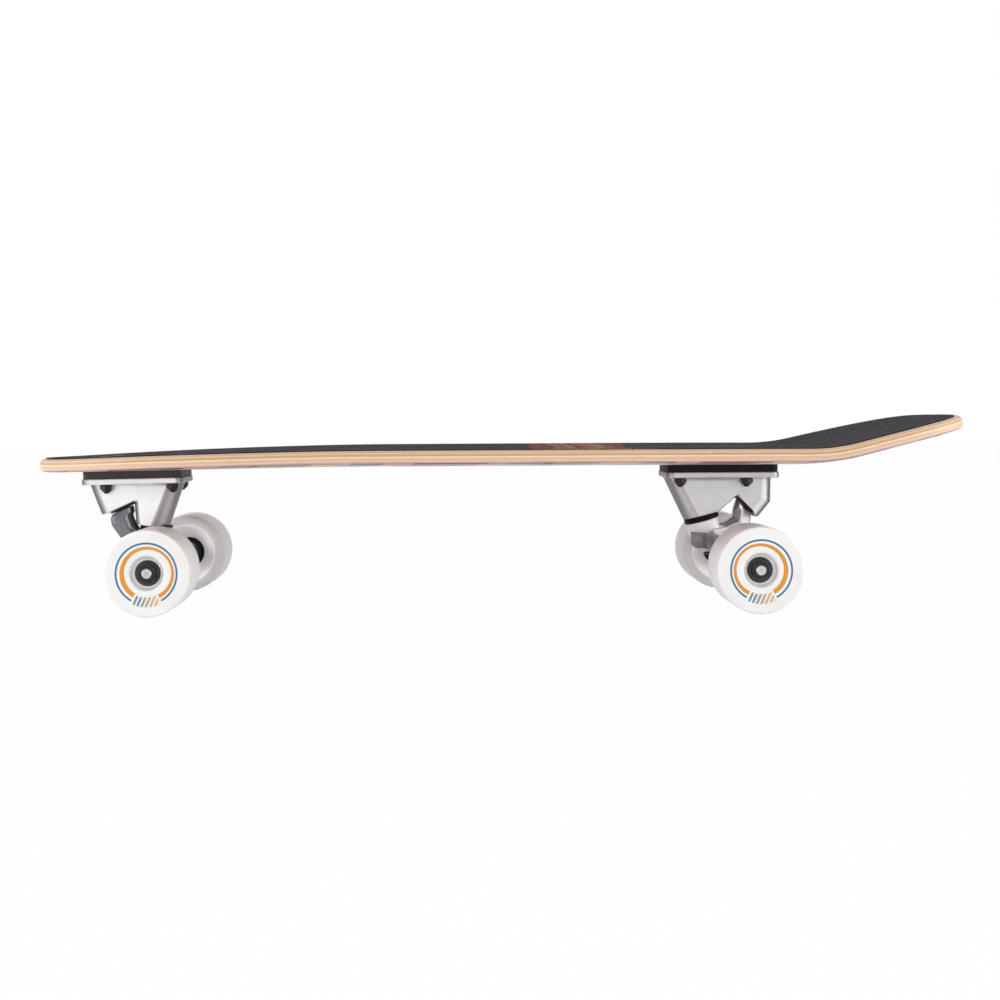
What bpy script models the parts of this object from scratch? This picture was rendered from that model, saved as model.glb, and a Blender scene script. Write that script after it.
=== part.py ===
"""Surfskate: a kicktail deck on two sprung trucks with four free rolling wheels.

Metres, +Z up. The nose points to -X, the tail to +X and the rider's left is -Y.
The origin lies on the floor under the middle of the board.
"""

import math
from dataclasses import dataclass

import bmesh
import bpy
from mathutils import Matrix, Vector

# Clearance between two pieces that touch or run on each other
GAP = 0.0003
# Clearance left round what a steering hanger sweeps past
ROOM = 0.0006

# Deck
DECK_LENGTH = 0.7426
DECK_WIDTH = 0.252
WOOD_THICKNESS = 0.0101
GRIP_THICKNESS = 0.0006
GRIP_INSET = 0.0045
EDGE_RADIUS = 0.0042
# Axle's line up to the deck's underside, at the rear truck
AXLE_TO_DECK = 0.0781
NOSE_TO_WIDEST = 0.3583
NOSE_LENGTH_POWER = 3.73
NOSE_WIDTH_POWER = 1.83
TAIL_LENGTH_POWER = 4.6
TAIL_WIDTH_POWER = 4.3
CONCAVE_DEPTH = 0.0042
CONCAVE_FLAT = 0.030
NOSE_TO_DROOP = 0.2783
NOSE_BEND_RADIUS = 4.0
NOSE_BEND_ANGLE = math.radians(0.85)
TAIL_TO_KICK = 0.1378
KICK_BEND_RADIUS = 0.165
KICK_BEND_ANGLE = math.radians(13.95)
# Length that the tail loses in plan as it kicks up
KICK_SHORTENING = 0.0011
NOSE_TO_AXLE = 0.1071
TAIL_TO_AXLE = 0.1719
OUTLINE_POINTS = 64
CONCAVE_STRIPS = 4
KICK_STRIPS = 6
NOSE_STRIPS = 3
EDGE_STEPS = 2

# Wheels and what carries them
WHEEL_RADIUS = 0.033
WHEEL_WIDTH = 0.050
OUTER_FACE_Y = 0.1065
OUTER_LIP = 0.002
INNER_LIP = 0.008
DISH_THROAT_RADIUS = 0.0126
DISH_THROAT_LENGTH = 0.003
CORE_RECESS_RADIUS = 0.0132
CORE_STOP_RADIUS = 0.009
BEARING_RADIUS = 0.011
BEARING_WIDTH = 0.007
BEARING_RECESS = 0.006
SHIELD_DEPTH = 0.0004
INNER_RACE_RADIUS = 0.0062
OUTER_RACE_WALL = 0.0012
SPACER_LENGTH = 0.010
SPACER_RADIUS = 0.0053
AXLE_RADIUS = 0.004
AXLE_CHAMFER = 0.0007
AXLE_BEYOND_NUT = 0.0004
AXLE_NUT_ACROSS_FLATS = 0.0127
AXLE_NUT_HEIGHT = 0.0052

# Risers, base plates and the fasteners through the deck
RISER_THICKNESS = 0.0060
RISER_INSET = 0.0008
PLATE_HALF_WIDTH = 0.028
PLATE_THICKNESS = 0.0049
PLATE_CORNER = 0.006
BODY_HALF_WIDTH = 0.0145
BOSS_FOOT_CORNER = 0.0125
PIVOT_BLOCK_HALF_WIDTH = 0.0140
PIVOT_BLOCK_CORNER = 0.0085
BOLT_PITCH_LONG = 0.05398
BOLT_PITCH_WIDE = 0.04128
BOLT_RADIUS = 0.0024
BOLT_HEAD_RADIUS = 0.0048
BOLT_HEAD_HEIGHT = 0.0028
BOLT_BEYOND_NUT = 0.0015
NUT_ACROSS_FLATS = 0.0095
NUT_HEIGHT = 0.0055

# Kingpin stack, counted along the kingpin
KINGPIN_RADIUS = 0.00476
KINGPIN_HEAD_ACROSS_FLATS = 0.0143
KINGPIN_HEAD_HEIGHT = 0.0052
KINGPIN_HEAD_COVER = 0.0026
KINGPIN_NUT_HEIGHT = 0.0060
KINGPIN_BEYOND_NUT = 0.0014
RING_HEIGHT = 0.0085
RING_HOLE_RADIUS = 0.0073
RING_CHAMFER = 0.0010
UPPER_BUSHING_HEIGHT = 0.0039
LOWER_BUSHING_HEIGHT = 0.0105
LOWER_BUSHING_TAPER = 0.0030
WASHER_THICKNESS = 0.0014
WASHER_RADIUS = 0.0098

# Pivot
PIVOT_PIN_RADIUS = 0.0050
PIVOT_CUP_WALL = 0.0030
PIVOT_CUP_FLOOR = 0.0020
PIVOT_CUP_DEPTH = 0.0090
PIVOT_CUP_LIP = 0.0002

# Hanger casting
HOUSING_RADIUS = 0.0088
HOUSING_CHAMFER = 0.0012

# Places along the board and up from the floor that follow from the lengths above
DECK_UNDERSIDE = WHEEL_RADIUS + AXLE_TO_DECK
WIDEST_X = NOSE_TO_WIDEST - DECK_LENGTH / 2
NOSE_BEND_X = NOSE_TO_DROOP - DECK_LENGTH / 2
KICK_BEND_X = DECK_LENGTH / 2 - TAIL_TO_KICK

# Facets round each kind of turned piece
WHEEL_FACETS = 28
BEARING_FACETS = 14
SMALL_FACETS = 20
FASTENER_FACETS = 12
LOFT_FACETS = 14
CORNER_STEPS = 4


@dataclass(frozen=True)
class Station:
    """One section of the hanger's arm, square to the arm's direction."""

    along: float
    up: float
    direction_deg: float
    half_depth: float
    half_width: float


@dataclass(frozen=True)
class WingStop:
    """One section of a hanger's wing, square to the axle's direction."""

    side: float
    along: float
    up: float
    half_run: float
    half_depth: float
    turn_deg: float


@dataclass(frozen=True)
class Truck:
    """One truck in its own frame: along = outboard, up = away from the floor.

    Lengths are counted from the middle of the axle.
    """

    name: str
    axle_x: float
    outboard: int
    plate_inboard: float
    plate_outboard: float
    bolt_centre: float
    ring_along: float
    ring_up: float
    ring_radius: float
    kingpin_tilt_deg: float
    boss_radius: float
    boss_inboard: float
    boss_outboard: float
    pivot_along: float
    pivot_up: float
    pivot_face_low: tuple
    pivot_face_high: tuple
    pivot_tip: tuple
    pivot_side: tuple
    arm: tuple
    wing: tuple
    steer_deg: float


FRONT = Truck(
    name="front",
    axle_x=NOSE_TO_AXLE - DECK_LENGTH / 2,
    outboard=-1,
    plate_inboard=-0.0135,
    plate_outboard=0.0684,
    bolt_centre=0.0220,
    ring_along=0.0155,
    ring_up=0.0199,
    ring_radius=0.0125,
    kingpin_tilt_deg=12.0,
    boss_radius=0.01025,
    boss_inboard=-0.0112,
    boss_outboard=0.0236,
    pivot_along=0.0423,
    pivot_up=0.0480,
    pivot_face_low=(0.0492, 0.0410),
    pivot_face_high=(0.0222, 0.0528),
    pivot_tip=(),
    pivot_side=((0.0564, 0.0391), (0.0656, 0.0639)),
    arm=(
        Station(along=0.0215, up=0.0205, direction_deg=12.0, half_depth=0.0038, half_width=0.0090),
        Station(along=0.0278, up=0.0218, direction_deg=25.0, half_depth=0.0052, half_width=0.0100),
        Station(along=0.0349, up=0.0260, direction_deg=50.0, half_depth=0.0084, half_width=0.0092),
        Station(along=0.0393, up=0.0343, direction_deg=66.0, half_depth=0.0095, half_width=0.0086),
        Station(along=0.0408, up=0.0425, direction_deg=66.4, half_depth=0.0096, half_width=0.0076),
    ),
    wing=(
        WingStop(side=0.0095, along=0.0155, up=0.0199, half_run=0.0078, half_depth=0.0039, turn_deg=12.0),
        WingStop(side=0.0235, along=0.0072, up=0.0090, half_run=0.0150, half_depth=0.0074, turn_deg=52.0),
        WingStop(side=0.0470, along=0.0052, up=0.0068, half_run=0.0138, half_depth=0.0070, turn_deg=56.0),
        WingStop(side=0.0545, along=0.0, up=0.0, half_run=0.0084, half_depth=0.0084, turn_deg=56.0),
    ),
    steer_deg=22.0,
)

REAR = Truck(
    name="rear",
    axle_x=DECK_LENGTH / 2 - TAIL_TO_AXLE,
    outboard=1,
    plate_inboard=-0.0591,
    plate_outboard=0.0322,
    bolt_centre=-0.0206,
    ring_along=-0.0254,
    ring_up=0.0268,
    ring_radius=0.0134,
    kingpin_tilt_deg=15.6,
    boss_radius=0.0145,
    boss_inboard=-0.0588,
    boss_outboard=0.0190,
    pivot_along=0.0089,
    pivot_up=0.0458,
    pivot_face_low=(0.0122, 0.0369),
    pivot_face_high=(0.0009, 0.0510),
    pivot_tip=((0.0160, 0.0338),),
    pivot_side=((0.0194, 0.0345), (0.0290, 0.0461), (0.0295, 0.0640)),
    arm=(
        Station(along=-0.0175, up=0.0262, direction_deg=15.0, half_depth=0.0034, half_width=0.0095),
        Station(along=-0.0088, up=0.0254, direction_deg=8.0, half_depth=0.0034, half_width=0.0105),
        Station(along=0.0034, up=0.0296, direction_deg=52.0, half_depth=0.0064, half_width=0.0092),
        Station(along=0.0048, up=0.0364, direction_deg=60.0, half_depth=0.0066, half_width=0.0084),
        Station(along=0.0057, up=0.0432, direction_deg=38.7, half_depth=0.0064, half_width=0.0076),
    ),
    wing=(
        WingStop(side=0.0095, along=-0.0254, up=0.0268, half_run=0.0083, half_depth=0.0039, turn_deg=15.6),
        WingStop(side=0.0235, along=-0.0145, up=0.0100, half_run=0.0175, half_depth=0.0068, turn_deg=141.0),
        WingStop(side=0.0490, along=-0.0130, up=0.0068, half_run=0.0160, half_depth=0.0062, turn_deg=163.0),
        WingStop(side=0.0545, along=0.0, up=0.0, half_run=0.0084, half_depth=0.0084, turn_deg=163.0),
    ),
    steer_deg=15.0,
)

# Colours (linear RGB), roughness, metallic
WOOD = ((0.62, 0.38, 0.17), 0.45, 0.0)
GRIP = ((0.018, 0.018, 0.020), 0.95, 0.0)
URETHANE = ((0.86, 0.83, 0.82), 0.35, 0.0)
CAST_ALUMINIUM = ((0.55, 0.54, 0.54), 0.38, 1.0)
STEEL = ((0.56, 0.56, 0.57), 0.25, 1.0)
BLACK_STEEL = ((0.020, 0.020, 0.022), 0.40, 0.6)
BLACK_PLASTIC = ((0.020, 0.020, 0.022), 0.55, 0.0)
BLACK_URETHANE = ((0.015, 0.015, 0.016), 0.45, 0.0)
GREY_URETHANE = ((0.14, 0.13, 0.13), 0.50, 0.0)


def clear_scene():
    """Remove every object that the file holds."""
    for old in list(bpy.data.objects):
        bpy.data.objects.remove(old, do_unlink=True)


def new_collection(name):
    """Make a collection under the scene's own."""
    group = bpy.data.collections.new(name)
    bpy.context.scene.collection.children.link(group)
    return group


def finish(piece, look):
    """Give a piece a material of its own."""
    colour, roughness, metallic = look
    mat = bpy.data.materials.new(piece.name)
    mat.use_nodes = True
    shader = mat.node_tree.nodes["Principled BSDF"]
    shader.inputs["Base Color"].default_value = (*colour, 1.0)
    shader.inputs["Roughness"].default_value = roughness
    shader.inputs["Metallic"].default_value = metallic
    mat.diffuse_color = (*colour, 1.0)
    piece.data.materials.clear()
    piece.data.materials.append(mat)


def add(name, mesh, parent=None, at=(0.0, 0.0, 0.0), turn=(0.0, 0.0, 0.0), look=None):
    """Link a mesh as a part when it has a look, or as a cutter when it has none."""
    piece = bpy.data.objects.new(name, mesh)
    if look is None:
        CUTTERS.objects.link(piece)
        piece.hide_render = True
        piece.display_type = "WIRE"
    else:
        PARTS.objects.link(piece)
        finish(piece, look)
    piece.parent = parent
    piece.location = at
    piece.rotation_euler = turn
    return piece


def mesh_from(bm, name):
    """Turn a bmesh into a mesh."""
    bmesh.ops.recalc_face_normals(bm, faces=bm.faces)
    mesh = bpy.data.meshes.new(name)
    bm.to_mesh(mesh)
    bm.free()
    return mesh


def profile_mesh(name, points, closed):
    """Lay a turned piece's profile in the XZ plane, radius along +X."""
    mesh = bpy.data.meshes.new(name)
    edges = [(i, i + 1) for i in range(len(points) - 1)]
    if closed:
        edges.append((len(points) - 1, 0))
    mesh.from_pydata([(radius, 0.0, height) for radius, height in points], edges, [])
    return mesh


def turn_profile(piece, facets):
    """Sweep a profile once round its own Z axis."""
    screw = piece.modifiers.new("turned", "SCREW")
    screw.axis = "Z"
    screw.angle = 2 * math.pi
    screw.steps = facets
    screw.render_steps = facets
    screw.use_merge_vertices = True
    screw.merge_threshold = 0.00001
    screw.use_smooth_shade = True


def turned(name, points, facets, closed=False, **place):
    """Add a turned piece; its profile runs down the outer side."""
    piece = add(name, profile_mesh(name, points, closed), **place)
    turn_profile(piece, facets)
    return piece


def ring_profile(outer, inner, low, high, chamfer=0.0):
    """Profile of a plain ring, with its outer corners taken off."""
    if chamfer == 0.0:
        return [(outer, high), (outer, low), (inner, low), (inner, high)]
    return [
        (outer - chamfer, high), (outer, high - chamfer),
        (outer, low + chamfer), (outer - chamfer, low),
        (inner, low), (inner, high),
    ]


def cylinder_mesh(name, radius, low, high, facets):
    """A closed cylinder along Z."""
    bm = bmesh.new()
    bmesh.ops.create_cone(
        bm, cap_ends=True, segments=facets, radius1=radius, radius2=radius, depth=high - low,
    )
    bmesh.ops.translate(bm, verts=bm.verts, vec=(0.0, 0.0, (high + low) / 2))
    return mesh_from(bm, name)


def hexagon_mesh(name, across_flats, low, high):
    """A hexagonal prism along Z."""
    return cylinder_mesh(name, across_flats / math.sqrt(3), low, high, 6)


def outline_mesh(name, points, half_thickness):
    """A flat outline in the XY plane, thickened both ways along Z."""
    curve = bpy.data.curves.new(name, "CURVE")
    curve.dimensions = "2D"
    curve.fill_mode = "BOTH"
    curve.extrude = half_thickness
    spline = curve.splines.new("POLY")
    spline.points.add(len(points) - 1)
    spline.use_cyclic_u = True
    for spot, (x, y) in zip(spline.points, points):
        spot.co = (x, y, 0.0, 1.0)
    holder = bpy.data.objects.new(name, curve)
    CUTTERS.objects.link(holder)
    bpy.context.view_layer.update()
    graph = bpy.context.evaluated_depsgraph_get()
    mesh = bpy.data.meshes.new_from_object(holder.evaluated_get(graph))
    bpy.data.objects.remove(holder, do_unlink=True)
    bm = bmesh.new()
    bm.from_mesh(mesh)
    bmesh.ops.remove_doubles(bm, verts=bm.verts, dist=0.00001)
    bpy.data.meshes.remove(mesh)
    return mesh_from(bm, name)


def hull_mesh(name, points):
    """The convex solid round a set of points."""
    bm = bmesh.new()
    for point in points:
        bm.verts.new(point)
    out = bmesh.ops.convex_hull(bm, input=bm.verts)
    spare = [item for item in out["geom_interior"] + out["geom_unused"]
             if isinstance(item, bmesh.types.BMVert)]
    bmesh.ops.delete(bm, geom=list(set(spare)), context="VERTS")
    return mesh_from(bm, name)


def loft_mesh(name, rings):
    """Join sections of equal count into one closed solid."""
    bm = bmesh.new()
    rows = [[bm.verts.new(point) for point in ring] for ring in rings]
    count = len(rows[0])
    for near, far in zip(rows, rows[1:]):
        for i in range(count):
            j = (i + 1) % count
            bm.faces.new((near[i], near[j], far[j], far[i]))
    bm.faces.new(rows[0])
    bm.faces.new(rows[-1])
    return mesh_from(bm, name)


def boolean(piece, tool, operation):
    """Join a tool to a piece, or cut it out of the piece."""
    step = piece.modifiers.new(tool.name, "BOOLEAN")
    step.operation = operation
    step.object = tool
    step.solver = "EXACT"


def cut(piece, *tools):
    """Cut each tool out of a piece."""
    for tool in tools:
        boolean(piece, tool, "DIFFERENCE")


def join(piece, *tools):
    """Join each tool to a piece."""
    for tool in tools:
        boolean(piece, tool, "UNION")


def rounded_rectangle(low_x, high_x, half_y, radius):
    """Outline of a rectangle with round corners, anticlockwise."""
    points = []
    corners = (
        (high_x - radius, half_y - radius, 0.0),
        (low_x + radius, half_y - radius, 90.0),
        (low_x + radius, radius - half_y, 180.0),
        (high_x - radius, radius - half_y, 270.0),
    )
    for x, y, start in corners:
        for i in range(CORNER_STEPS + 1):
            angle = math.radians(start + 90.0 * i / CORNER_STEPS)
            points.append((x + radius * math.cos(angle), y + radius * math.sin(angle)))
    return points


def bend(distance, radius, angle):
    """Rise and slope at a distance past the start of a bend."""
    if distance <= 0.0:
        return 0.0, 0.0
    end = radius * math.sin(angle)
    if distance < end:
        slope = math.asin(distance / radius)
        return radius * (1.0 - math.cos(slope)), slope
    return radius * (1.0 - math.cos(angle)) + (distance - end) * math.tan(angle), angle


def on_deck(x, y, lift):
    """Where a point of the flat board lies once the board is pressed.

    The tail kicks up, the nose droops a little and both rails rise.
    """
    kick, kick_slope = bend(x - KICK_BEND_X, KICK_BEND_RADIUS, KICK_BEND_ANGLE)
    droop, droop_slope = bend(NOSE_BEND_X - x, NOSE_BEND_RADIUS, NOSE_BEND_ANGLE)
    slope = kick_slope + droop_slope
    past_flat = max(0.0, abs(y) - CONCAVE_FLAT) / (DECK_WIDTH / 2 - CONCAVE_FLAT)
    rail = CONCAVE_DEPTH * past_flat ** 2
    height = DECK_UNDERSIDE + kick - droop + rail + lift * math.cos(slope)
    return Vector((x - lift * math.sin(slope), y, height))


def deck_outline(inset):
    """Plan outline of the board: two superellipse halves that meet at the widest line."""
    tail = DECK_LENGTH / 2 + KICK_SHORTENING - WIDEST_X - inset
    nose = DECK_LENGTH / 2 + WIDEST_X - inset
    half_width = DECK_WIDTH / 2 - inset
    points = []
    for i in range(OUTLINE_POINTS):
        angle = 2 * math.pi * i / OUTLINE_POINTS
        along, across = math.cos(angle), math.sin(angle)
        if along >= 0.0:
            x = WIDEST_X + tail * along ** (2 / TAIL_LENGTH_POWER)
            power = 2 / TAIL_WIDTH_POWER
        else:
            x = WIDEST_X - nose * (-along) ** (2 / NOSE_LENGTH_POWER)
            power = 2 / NOSE_WIDTH_POWER
        y = half_width * math.copysign(abs(across) ** power, across)
        points.append((x, y))
    return points


def board_sheet(inset):
    """A flat face with the board's outline, cut into strips where the board bends."""
    bm = bmesh.new()
    bm.faces.new([bm.verts.new((x, y, 0.0)) for x, y in deck_outline(inset)])
    kick_run = KICK_BEND_RADIUS * math.sin(KICK_BEND_ANGLE)
    nose_run = NOSE_BEND_RADIUS * math.sin(NOSE_BEND_ANGLE)
    lines = [KICK_BEND_X + kick_run * i / KICK_STRIPS for i in range(KICK_STRIPS + 1)]
    lines += [NOSE_BEND_X - nose_run * i / NOSE_STRIPS for i in range(NOSE_STRIPS + 1)]
    rail_run = DECK_WIDTH / 2 - CONCAVE_FLAT
    rails = [CONCAVE_FLAT + rail_run * i / CONCAVE_STRIPS for i in range(CONCAVE_STRIPS)]
    planes = [((x, 0.0, 0.0), (1.0, 0.0, 0.0)) for x in lines]
    planes += [((0.0, side * y, 0.0), (0.0, 1.0, 0.0)) for y in rails for side in (-1, 1)]
    for spot, normal in planes:
        everything = bm.verts[:] + bm.edges[:] + bm.faces[:]
        bmesh.ops.bisect_plane(bm, geom=everything, dist=0.0004, plane_co=spot, plane_no=normal)
    return bm


def board_mesh(name, inset, low, high, edge):
    """A layer of the board from one lift to another, with a round edge, bent to shape."""
    bm = board_sheet(inset + edge)
    bottom = list(bm.faces)
    copy = bmesh.ops.duplicate(bm, geom=bottom)
    top_verts = [item for item in copy["geom"] if isinstance(item, bmesh.types.BMVert)]
    rim = [item for item in bm.edges if item.is_boundary]
    top_rim = {item for item in copy["geom"]
               if isinstance(item, bmesh.types.BMEdge) and item.is_boundary}
    rim = [item for item in rim if item not in top_rim]
    for vert in bm.verts:
        vert.co.z = low
    for vert in top_verts:
        vert.co.z = high
    outward = rim_normals(rim)
    for step_out, step_up in rim_steps(low, high, edge):
        grown = bmesh.ops.extrude_edge_only(bm, edges=rim)["geom"]
        new_verts = [item for item in grown if isinstance(item, bmesh.types.BMVert)]
        moved = {}
        for vert in new_verts:
            x, y = vert.co.x, vert.co.y
            key = min(outward, key=lambda spot: (spot[0] - x) ** 2 + (spot[1] - y) ** 2)
            normal = outward[key]
            vert.co.x += normal[0] * step_out
            vert.co.y += normal[1] * step_out
            vert.co.z += step_up
            moved[(vert.co.x, vert.co.y)] = normal
        outward = moved
        rim = [item for item in grown if isinstance(item, bmesh.types.BMEdge)]
    bmesh.ops.remove_doubles(bm, verts=bm.verts, dist=0.00002)
    for vert in bm.verts:
        vert.co = on_deck(*vert.co)
    return mesh_from(bm, name)


def rim_normals(rim):
    """Outward direction in plan at each corner of a convex rim."""
    total = {}
    for edge in rim:
        first, last = (vert.co.copy() for vert in edge.verts)
        side = Vector((last.y - first.y, first.x - last.x, 0.0)).normalized()
        if side.dot((first + last) / 2 - Vector((WIDEST_X, 0.0, 0.0))) < 0.0:
            side = -side
        for spot in (first, last):
            key = (spot.x, spot.y)
            total[key] = total.get(key, Vector((0.0, 0.0, 0.0))) + side
    return {key: value.normalized() for key, value in total.items()}


def rim_steps(low, high, edge):
    """Moves out and up that draw a half round edge of two arcs and a flat."""
    if edge == 0.0:
        return [(0.0, high - low)]
    angles = [math.pi / 2 * i / EDGE_STEPS for i in range(EDGE_STEPS + 1)]
    outline = [(edge * math.sin(a), low + edge * (1.0 - math.cos(a))) for a in angles]
    outline += [(edge * math.cos(a), high - edge * (1.0 - math.sin(a))) for a in angles]
    return [(b[0] - a[0], b[1] - a[1]) for a, b in zip(outline, outline[1:])]


def stack_under_deck():
    """Deck underside to the top of a base plate."""
    return GAP + RISER_THICKNESS + GAP


def deck_above_axle(truck):
    """Square distance from the axle's line to the deck's underside."""
    drop, slope = bend(NOSE_BEND_X - truck.axle_x, NOSE_BEND_RADIUS, NOSE_BEND_ANGLE)
    return (DECK_UNDERSIDE - drop - WHEEL_RADIUS) * math.cos(slope)


def truck_frame(truck):
    """An empty at the axle's middle: +X points outboard, +Z away from the floor."""
    slope = bend(NOSE_BEND_X - truck.axle_x, NOSE_BEND_RADIUS, NOSE_BEND_ANGLE)[1]
    heading = math.pi if truck.outboard < 0 else 0.0
    frame = bpy.data.objects.new(truck.name + "_truck_frame", None)
    PARTS.objects.link(frame)
    frame.location = (truck.axle_x, 0.0, WHEEL_RADIUS)
    frame.rotation_euler = (0.0, slope, heading)
    return frame


def kingpin_place(truck, frame):
    """Place of a piece that is turned round the kingpin, counted from the ring."""
    tilt = math.radians(truck.kingpin_tilt_deg)
    return {"parent": frame, "at": (truck.ring_along, 0.0, truck.ring_up), "turn": (0.0, -tilt, 0.0)}


def steering_angle(truck):
    """Slope of the line from the ring's middle up to the pivot."""
    return math.atan2(truck.pivot_up - truck.ring_up, truck.pivot_along - truck.ring_along)


def pivot_place(truck, frame):
    """Place of a piece that is turned round the steering axis, counted from the pivot."""
    turn = (0.0, math.pi / 2 - steering_angle(truck), 0.0)
    return {"parent": frame, "at": (truck.pivot_along, 0.0, truck.pivot_up), "turn": turn}


def boss_face():
    """Ring middle to the face of the kingpin boss, along the kingpin."""
    return RING_HEIGHT / 2 + GAP + UPPER_BUSHING_HEIGHT + GAP


def lower_washer_top():
    """Ring middle to the top of the lower washer, downwards along the kingpin."""
    return RING_HEIGHT / 2 + GAP + LOWER_BUSHING_HEIGHT + GAP


def bolt_spots(truck):
    """Where the four bolts cross a base plate."""
    for i, along in enumerate((-1, 1)):
        for j, side in enumerate((-1, 1)):
            yield 2 * i + j + 1, (
                truck.bolt_centre + along * BOLT_PITCH_LONG / 2, side * BOLT_PITCH_WIDE / 2,
            )


def build_deck():
    """The pressed board and the grip sheet on it."""
    board = board_mesh("deck", 0.0, 0.0, WOOD_THICKNESS, EDGE_RADIUS)
    deck = add("deck", board, look=WOOD)
    low = WOOD_THICKNESS + GAP
    sheet = board_mesh("grip_tape", GRIP_INSET, low, low + GRIP_THICKNESS, 0.0)
    grip = add("grip_tape", sheet, look=GRIP)
    return deck, grip


def build_riser(truck, frame):
    """The hard riser pad between the deck and the base plate."""
    top = deck_above_axle(truck) - GAP
    outline = rounded_rectangle(
        truck.plate_inboard + RISER_INSET, truck.plate_outboard - RISER_INSET,
        PLATE_HALF_WIDTH - RISER_INSET, PLATE_CORNER - RISER_INSET,
    )
    name = truck.name + "_riser"
    mesh = outline_mesh(name, outline, RISER_THICKNESS / 2)
    at = (0.0, 0.0, top - RISER_THICKNESS / 2)
    return add(name, mesh, parent=frame, at=at, look=BLACK_PLASTIC)


def boss_mesh(truck, plate_low):
    """Kingpin boss: the solid round the boss face and its footprint on the plate."""
    tilt = math.radians(truck.kingpin_tilt_deg)
    lift = boss_face()
    middle = Vector((
        truck.ring_along - lift * math.sin(tilt), 0.0, truck.ring_up + lift * math.cos(tilt),
    ))
    points = []
    for i in range(SMALL_FACETS):
        angle = 2 * math.pi * i / SMALL_FACETS
        along = truck.boss_radius * math.cos(angle)
        side = truck.boss_radius * math.sin(angle)
        points.append(middle + Vector((along * math.cos(tilt), side, along * math.sin(tilt))))
    inside_plate = plate_low + PLATE_THICKNESS / 2
    foot = rounded_rectangle(
        truck.boss_inboard, truck.boss_outboard, BODY_HALF_WIDTH, BOSS_FOOT_CORNER,
    )
    points += [Vector((x, y, inside_plate)) for x, y in foot]
    return hull_mesh(truck.name + "_kingpin_boss", points)


def pivot_block_points(truck, plate_low):
    """Side outline of the pivot block, from the notch round its outboard side."""
    inside_plate = plate_low + PLATE_THICKNESS / 2
    points = [truck.pivot_face_high, truck.pivot_face_low, *truck.pivot_tip, *truck.pivot_side]
    points.append((truck.pivot_side[-1][0], inside_plate))
    points.append((truck.pivot_face_high[0], inside_plate))
    return points


def pivot_block_room_mesh(truck, plate_low):
    """The solid that a pivot block with round outboard edges stays inside."""
    first, second = Vector(truck.pivot_side[0]), Vector(truck.pivot_side[1])
    below = first - (second - first) / 2
    above = plate_low + PLATE_THICKNESS
    heights = [(below.x, below.y), *truck.pivot_side[1:], (truck.pivot_side[-1][0], above)]
    inboard = truck.pivot_face_high[0] - PIVOT_BLOCK_CORNER
    half = PIVOT_BLOCK_HALF_WIDTH + GAP
    points = [Vector((inboard, side * half, up)) for up in (below.y, above) for side in (-1, 1)]
    for step in range(CORNER_STEPS + 1):
        angle = math.pi / 2 * step / CORNER_STEPS
        back = PIVOT_BLOCK_CORNER * (1.0 - math.cos(angle))
        side = half - PIVOT_BLOCK_CORNER * (1.0 - math.sin(angle))
        points += [Vector((along - back, sign * side, up)) for along, up in heights for sign in (-1, 1)]
    return hull_mesh(truck.name + "_pivot_block_room", points)


def build_baseplate(truck, frame):
    """The cast base plate: flange, kingpin boss and pivot block in one body."""
    plate_high = deck_above_axle(truck) - stack_under_deck()
    plate_low = plate_high - PLATE_THICKNESS
    name = truck.name + "_baseplate"
    outline = rounded_rectangle(
        truck.plate_inboard, truck.plate_outboard, PLATE_HALF_WIDTH, PLATE_CORNER,
    )
    at = (0.0, 0.0, (plate_low + plate_high) / 2)
    plate = add(
        name, outline_mesh(name, outline, PLATE_THICKNESS / 2),
        parent=frame, at=at, look=CAST_ALUMINIUM,
    )
    boss = add(truck.name + "_kingpin_boss", boss_mesh(truck, plate_low), parent=frame)
    block = add(
        truck.name + "_pivot_block",
        outline_mesh(
            truck.name + "_pivot_block", pivot_block_points(truck, plate_low),
            PIVOT_BLOCK_HALF_WIDTH,
        ),
        parent=frame, turn=(math.pi / 2, 0.0, 0.0),
    )
    room = add(
        truck.name + "_pivot_block_room", pivot_block_room_mesh(truck, plate_low), parent=frame,
    )
    boolean(block, room, "INTERSECT")
    join(plate, boss, block)
    cut(plate, *kingpin_cutters(truck, frame, plate_high), socket_cutter(truck, frame))
    return plate


def kingpin_head_top(truck, plate_high):
    """Ring middle to the top of the kingpin's head, along the kingpin."""
    tilt = math.radians(truck.kingpin_tilt_deg)
    return (plate_high - truck.ring_up) / math.cos(tilt) - KINGPIN_HEAD_COVER


def kingpin_cutters(truck, frame, plate_high):
    """The kingpin's bore and the pocket for its head."""
    head_top = kingpin_head_top(truck, plate_high)
    pocket_low = head_top - KINGPIN_HEAD_HEIGHT - GAP
    pocket_radius = KINGPIN_HEAD_ACROSS_FLATS / math.sqrt(3) + 2 * GAP
    place = kingpin_place(truck, frame)
    bore = add(
        truck.name + "_kingpin_bore",
        cylinder_mesh("kingpin_bore", KINGPIN_RADIUS + GAP, 0.0, head_top, SMALL_FACETS), **place,
    )
    pocket = add(
        truck.name + "_head_pocket",
        cylinder_mesh(
            "head_pocket", pocket_radius, pocket_low, head_top + 2 * PLATE_THICKNESS, SMALL_FACETS,
        ),
        **place,
    )
    return bore, pocket


def cup_outer_radius():
    """Outer radius of a pivot cup."""
    return PIVOT_PIN_RADIUS + GAP + PIVOT_CUP_WALL


def cup_back():
    """Pivot to the closed end of its cup, outboard along the steering axis."""
    return PIVOT_PIN_RADIUS + GAP + PIVOT_CUP_FLOOR


def socket_cutter(truck, frame):
    """The bore that holds the pivot cup."""
    mesh = cylinder_mesh(
        "cup_socket", cup_outer_radius() + GAP, -2 * PIVOT_CUP_DEPTH, cup_back() + GAP, SMALL_FACETS,
    )
    return add(truck.name + "_cup_socket", mesh, **pivot_place(truck, frame))


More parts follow.
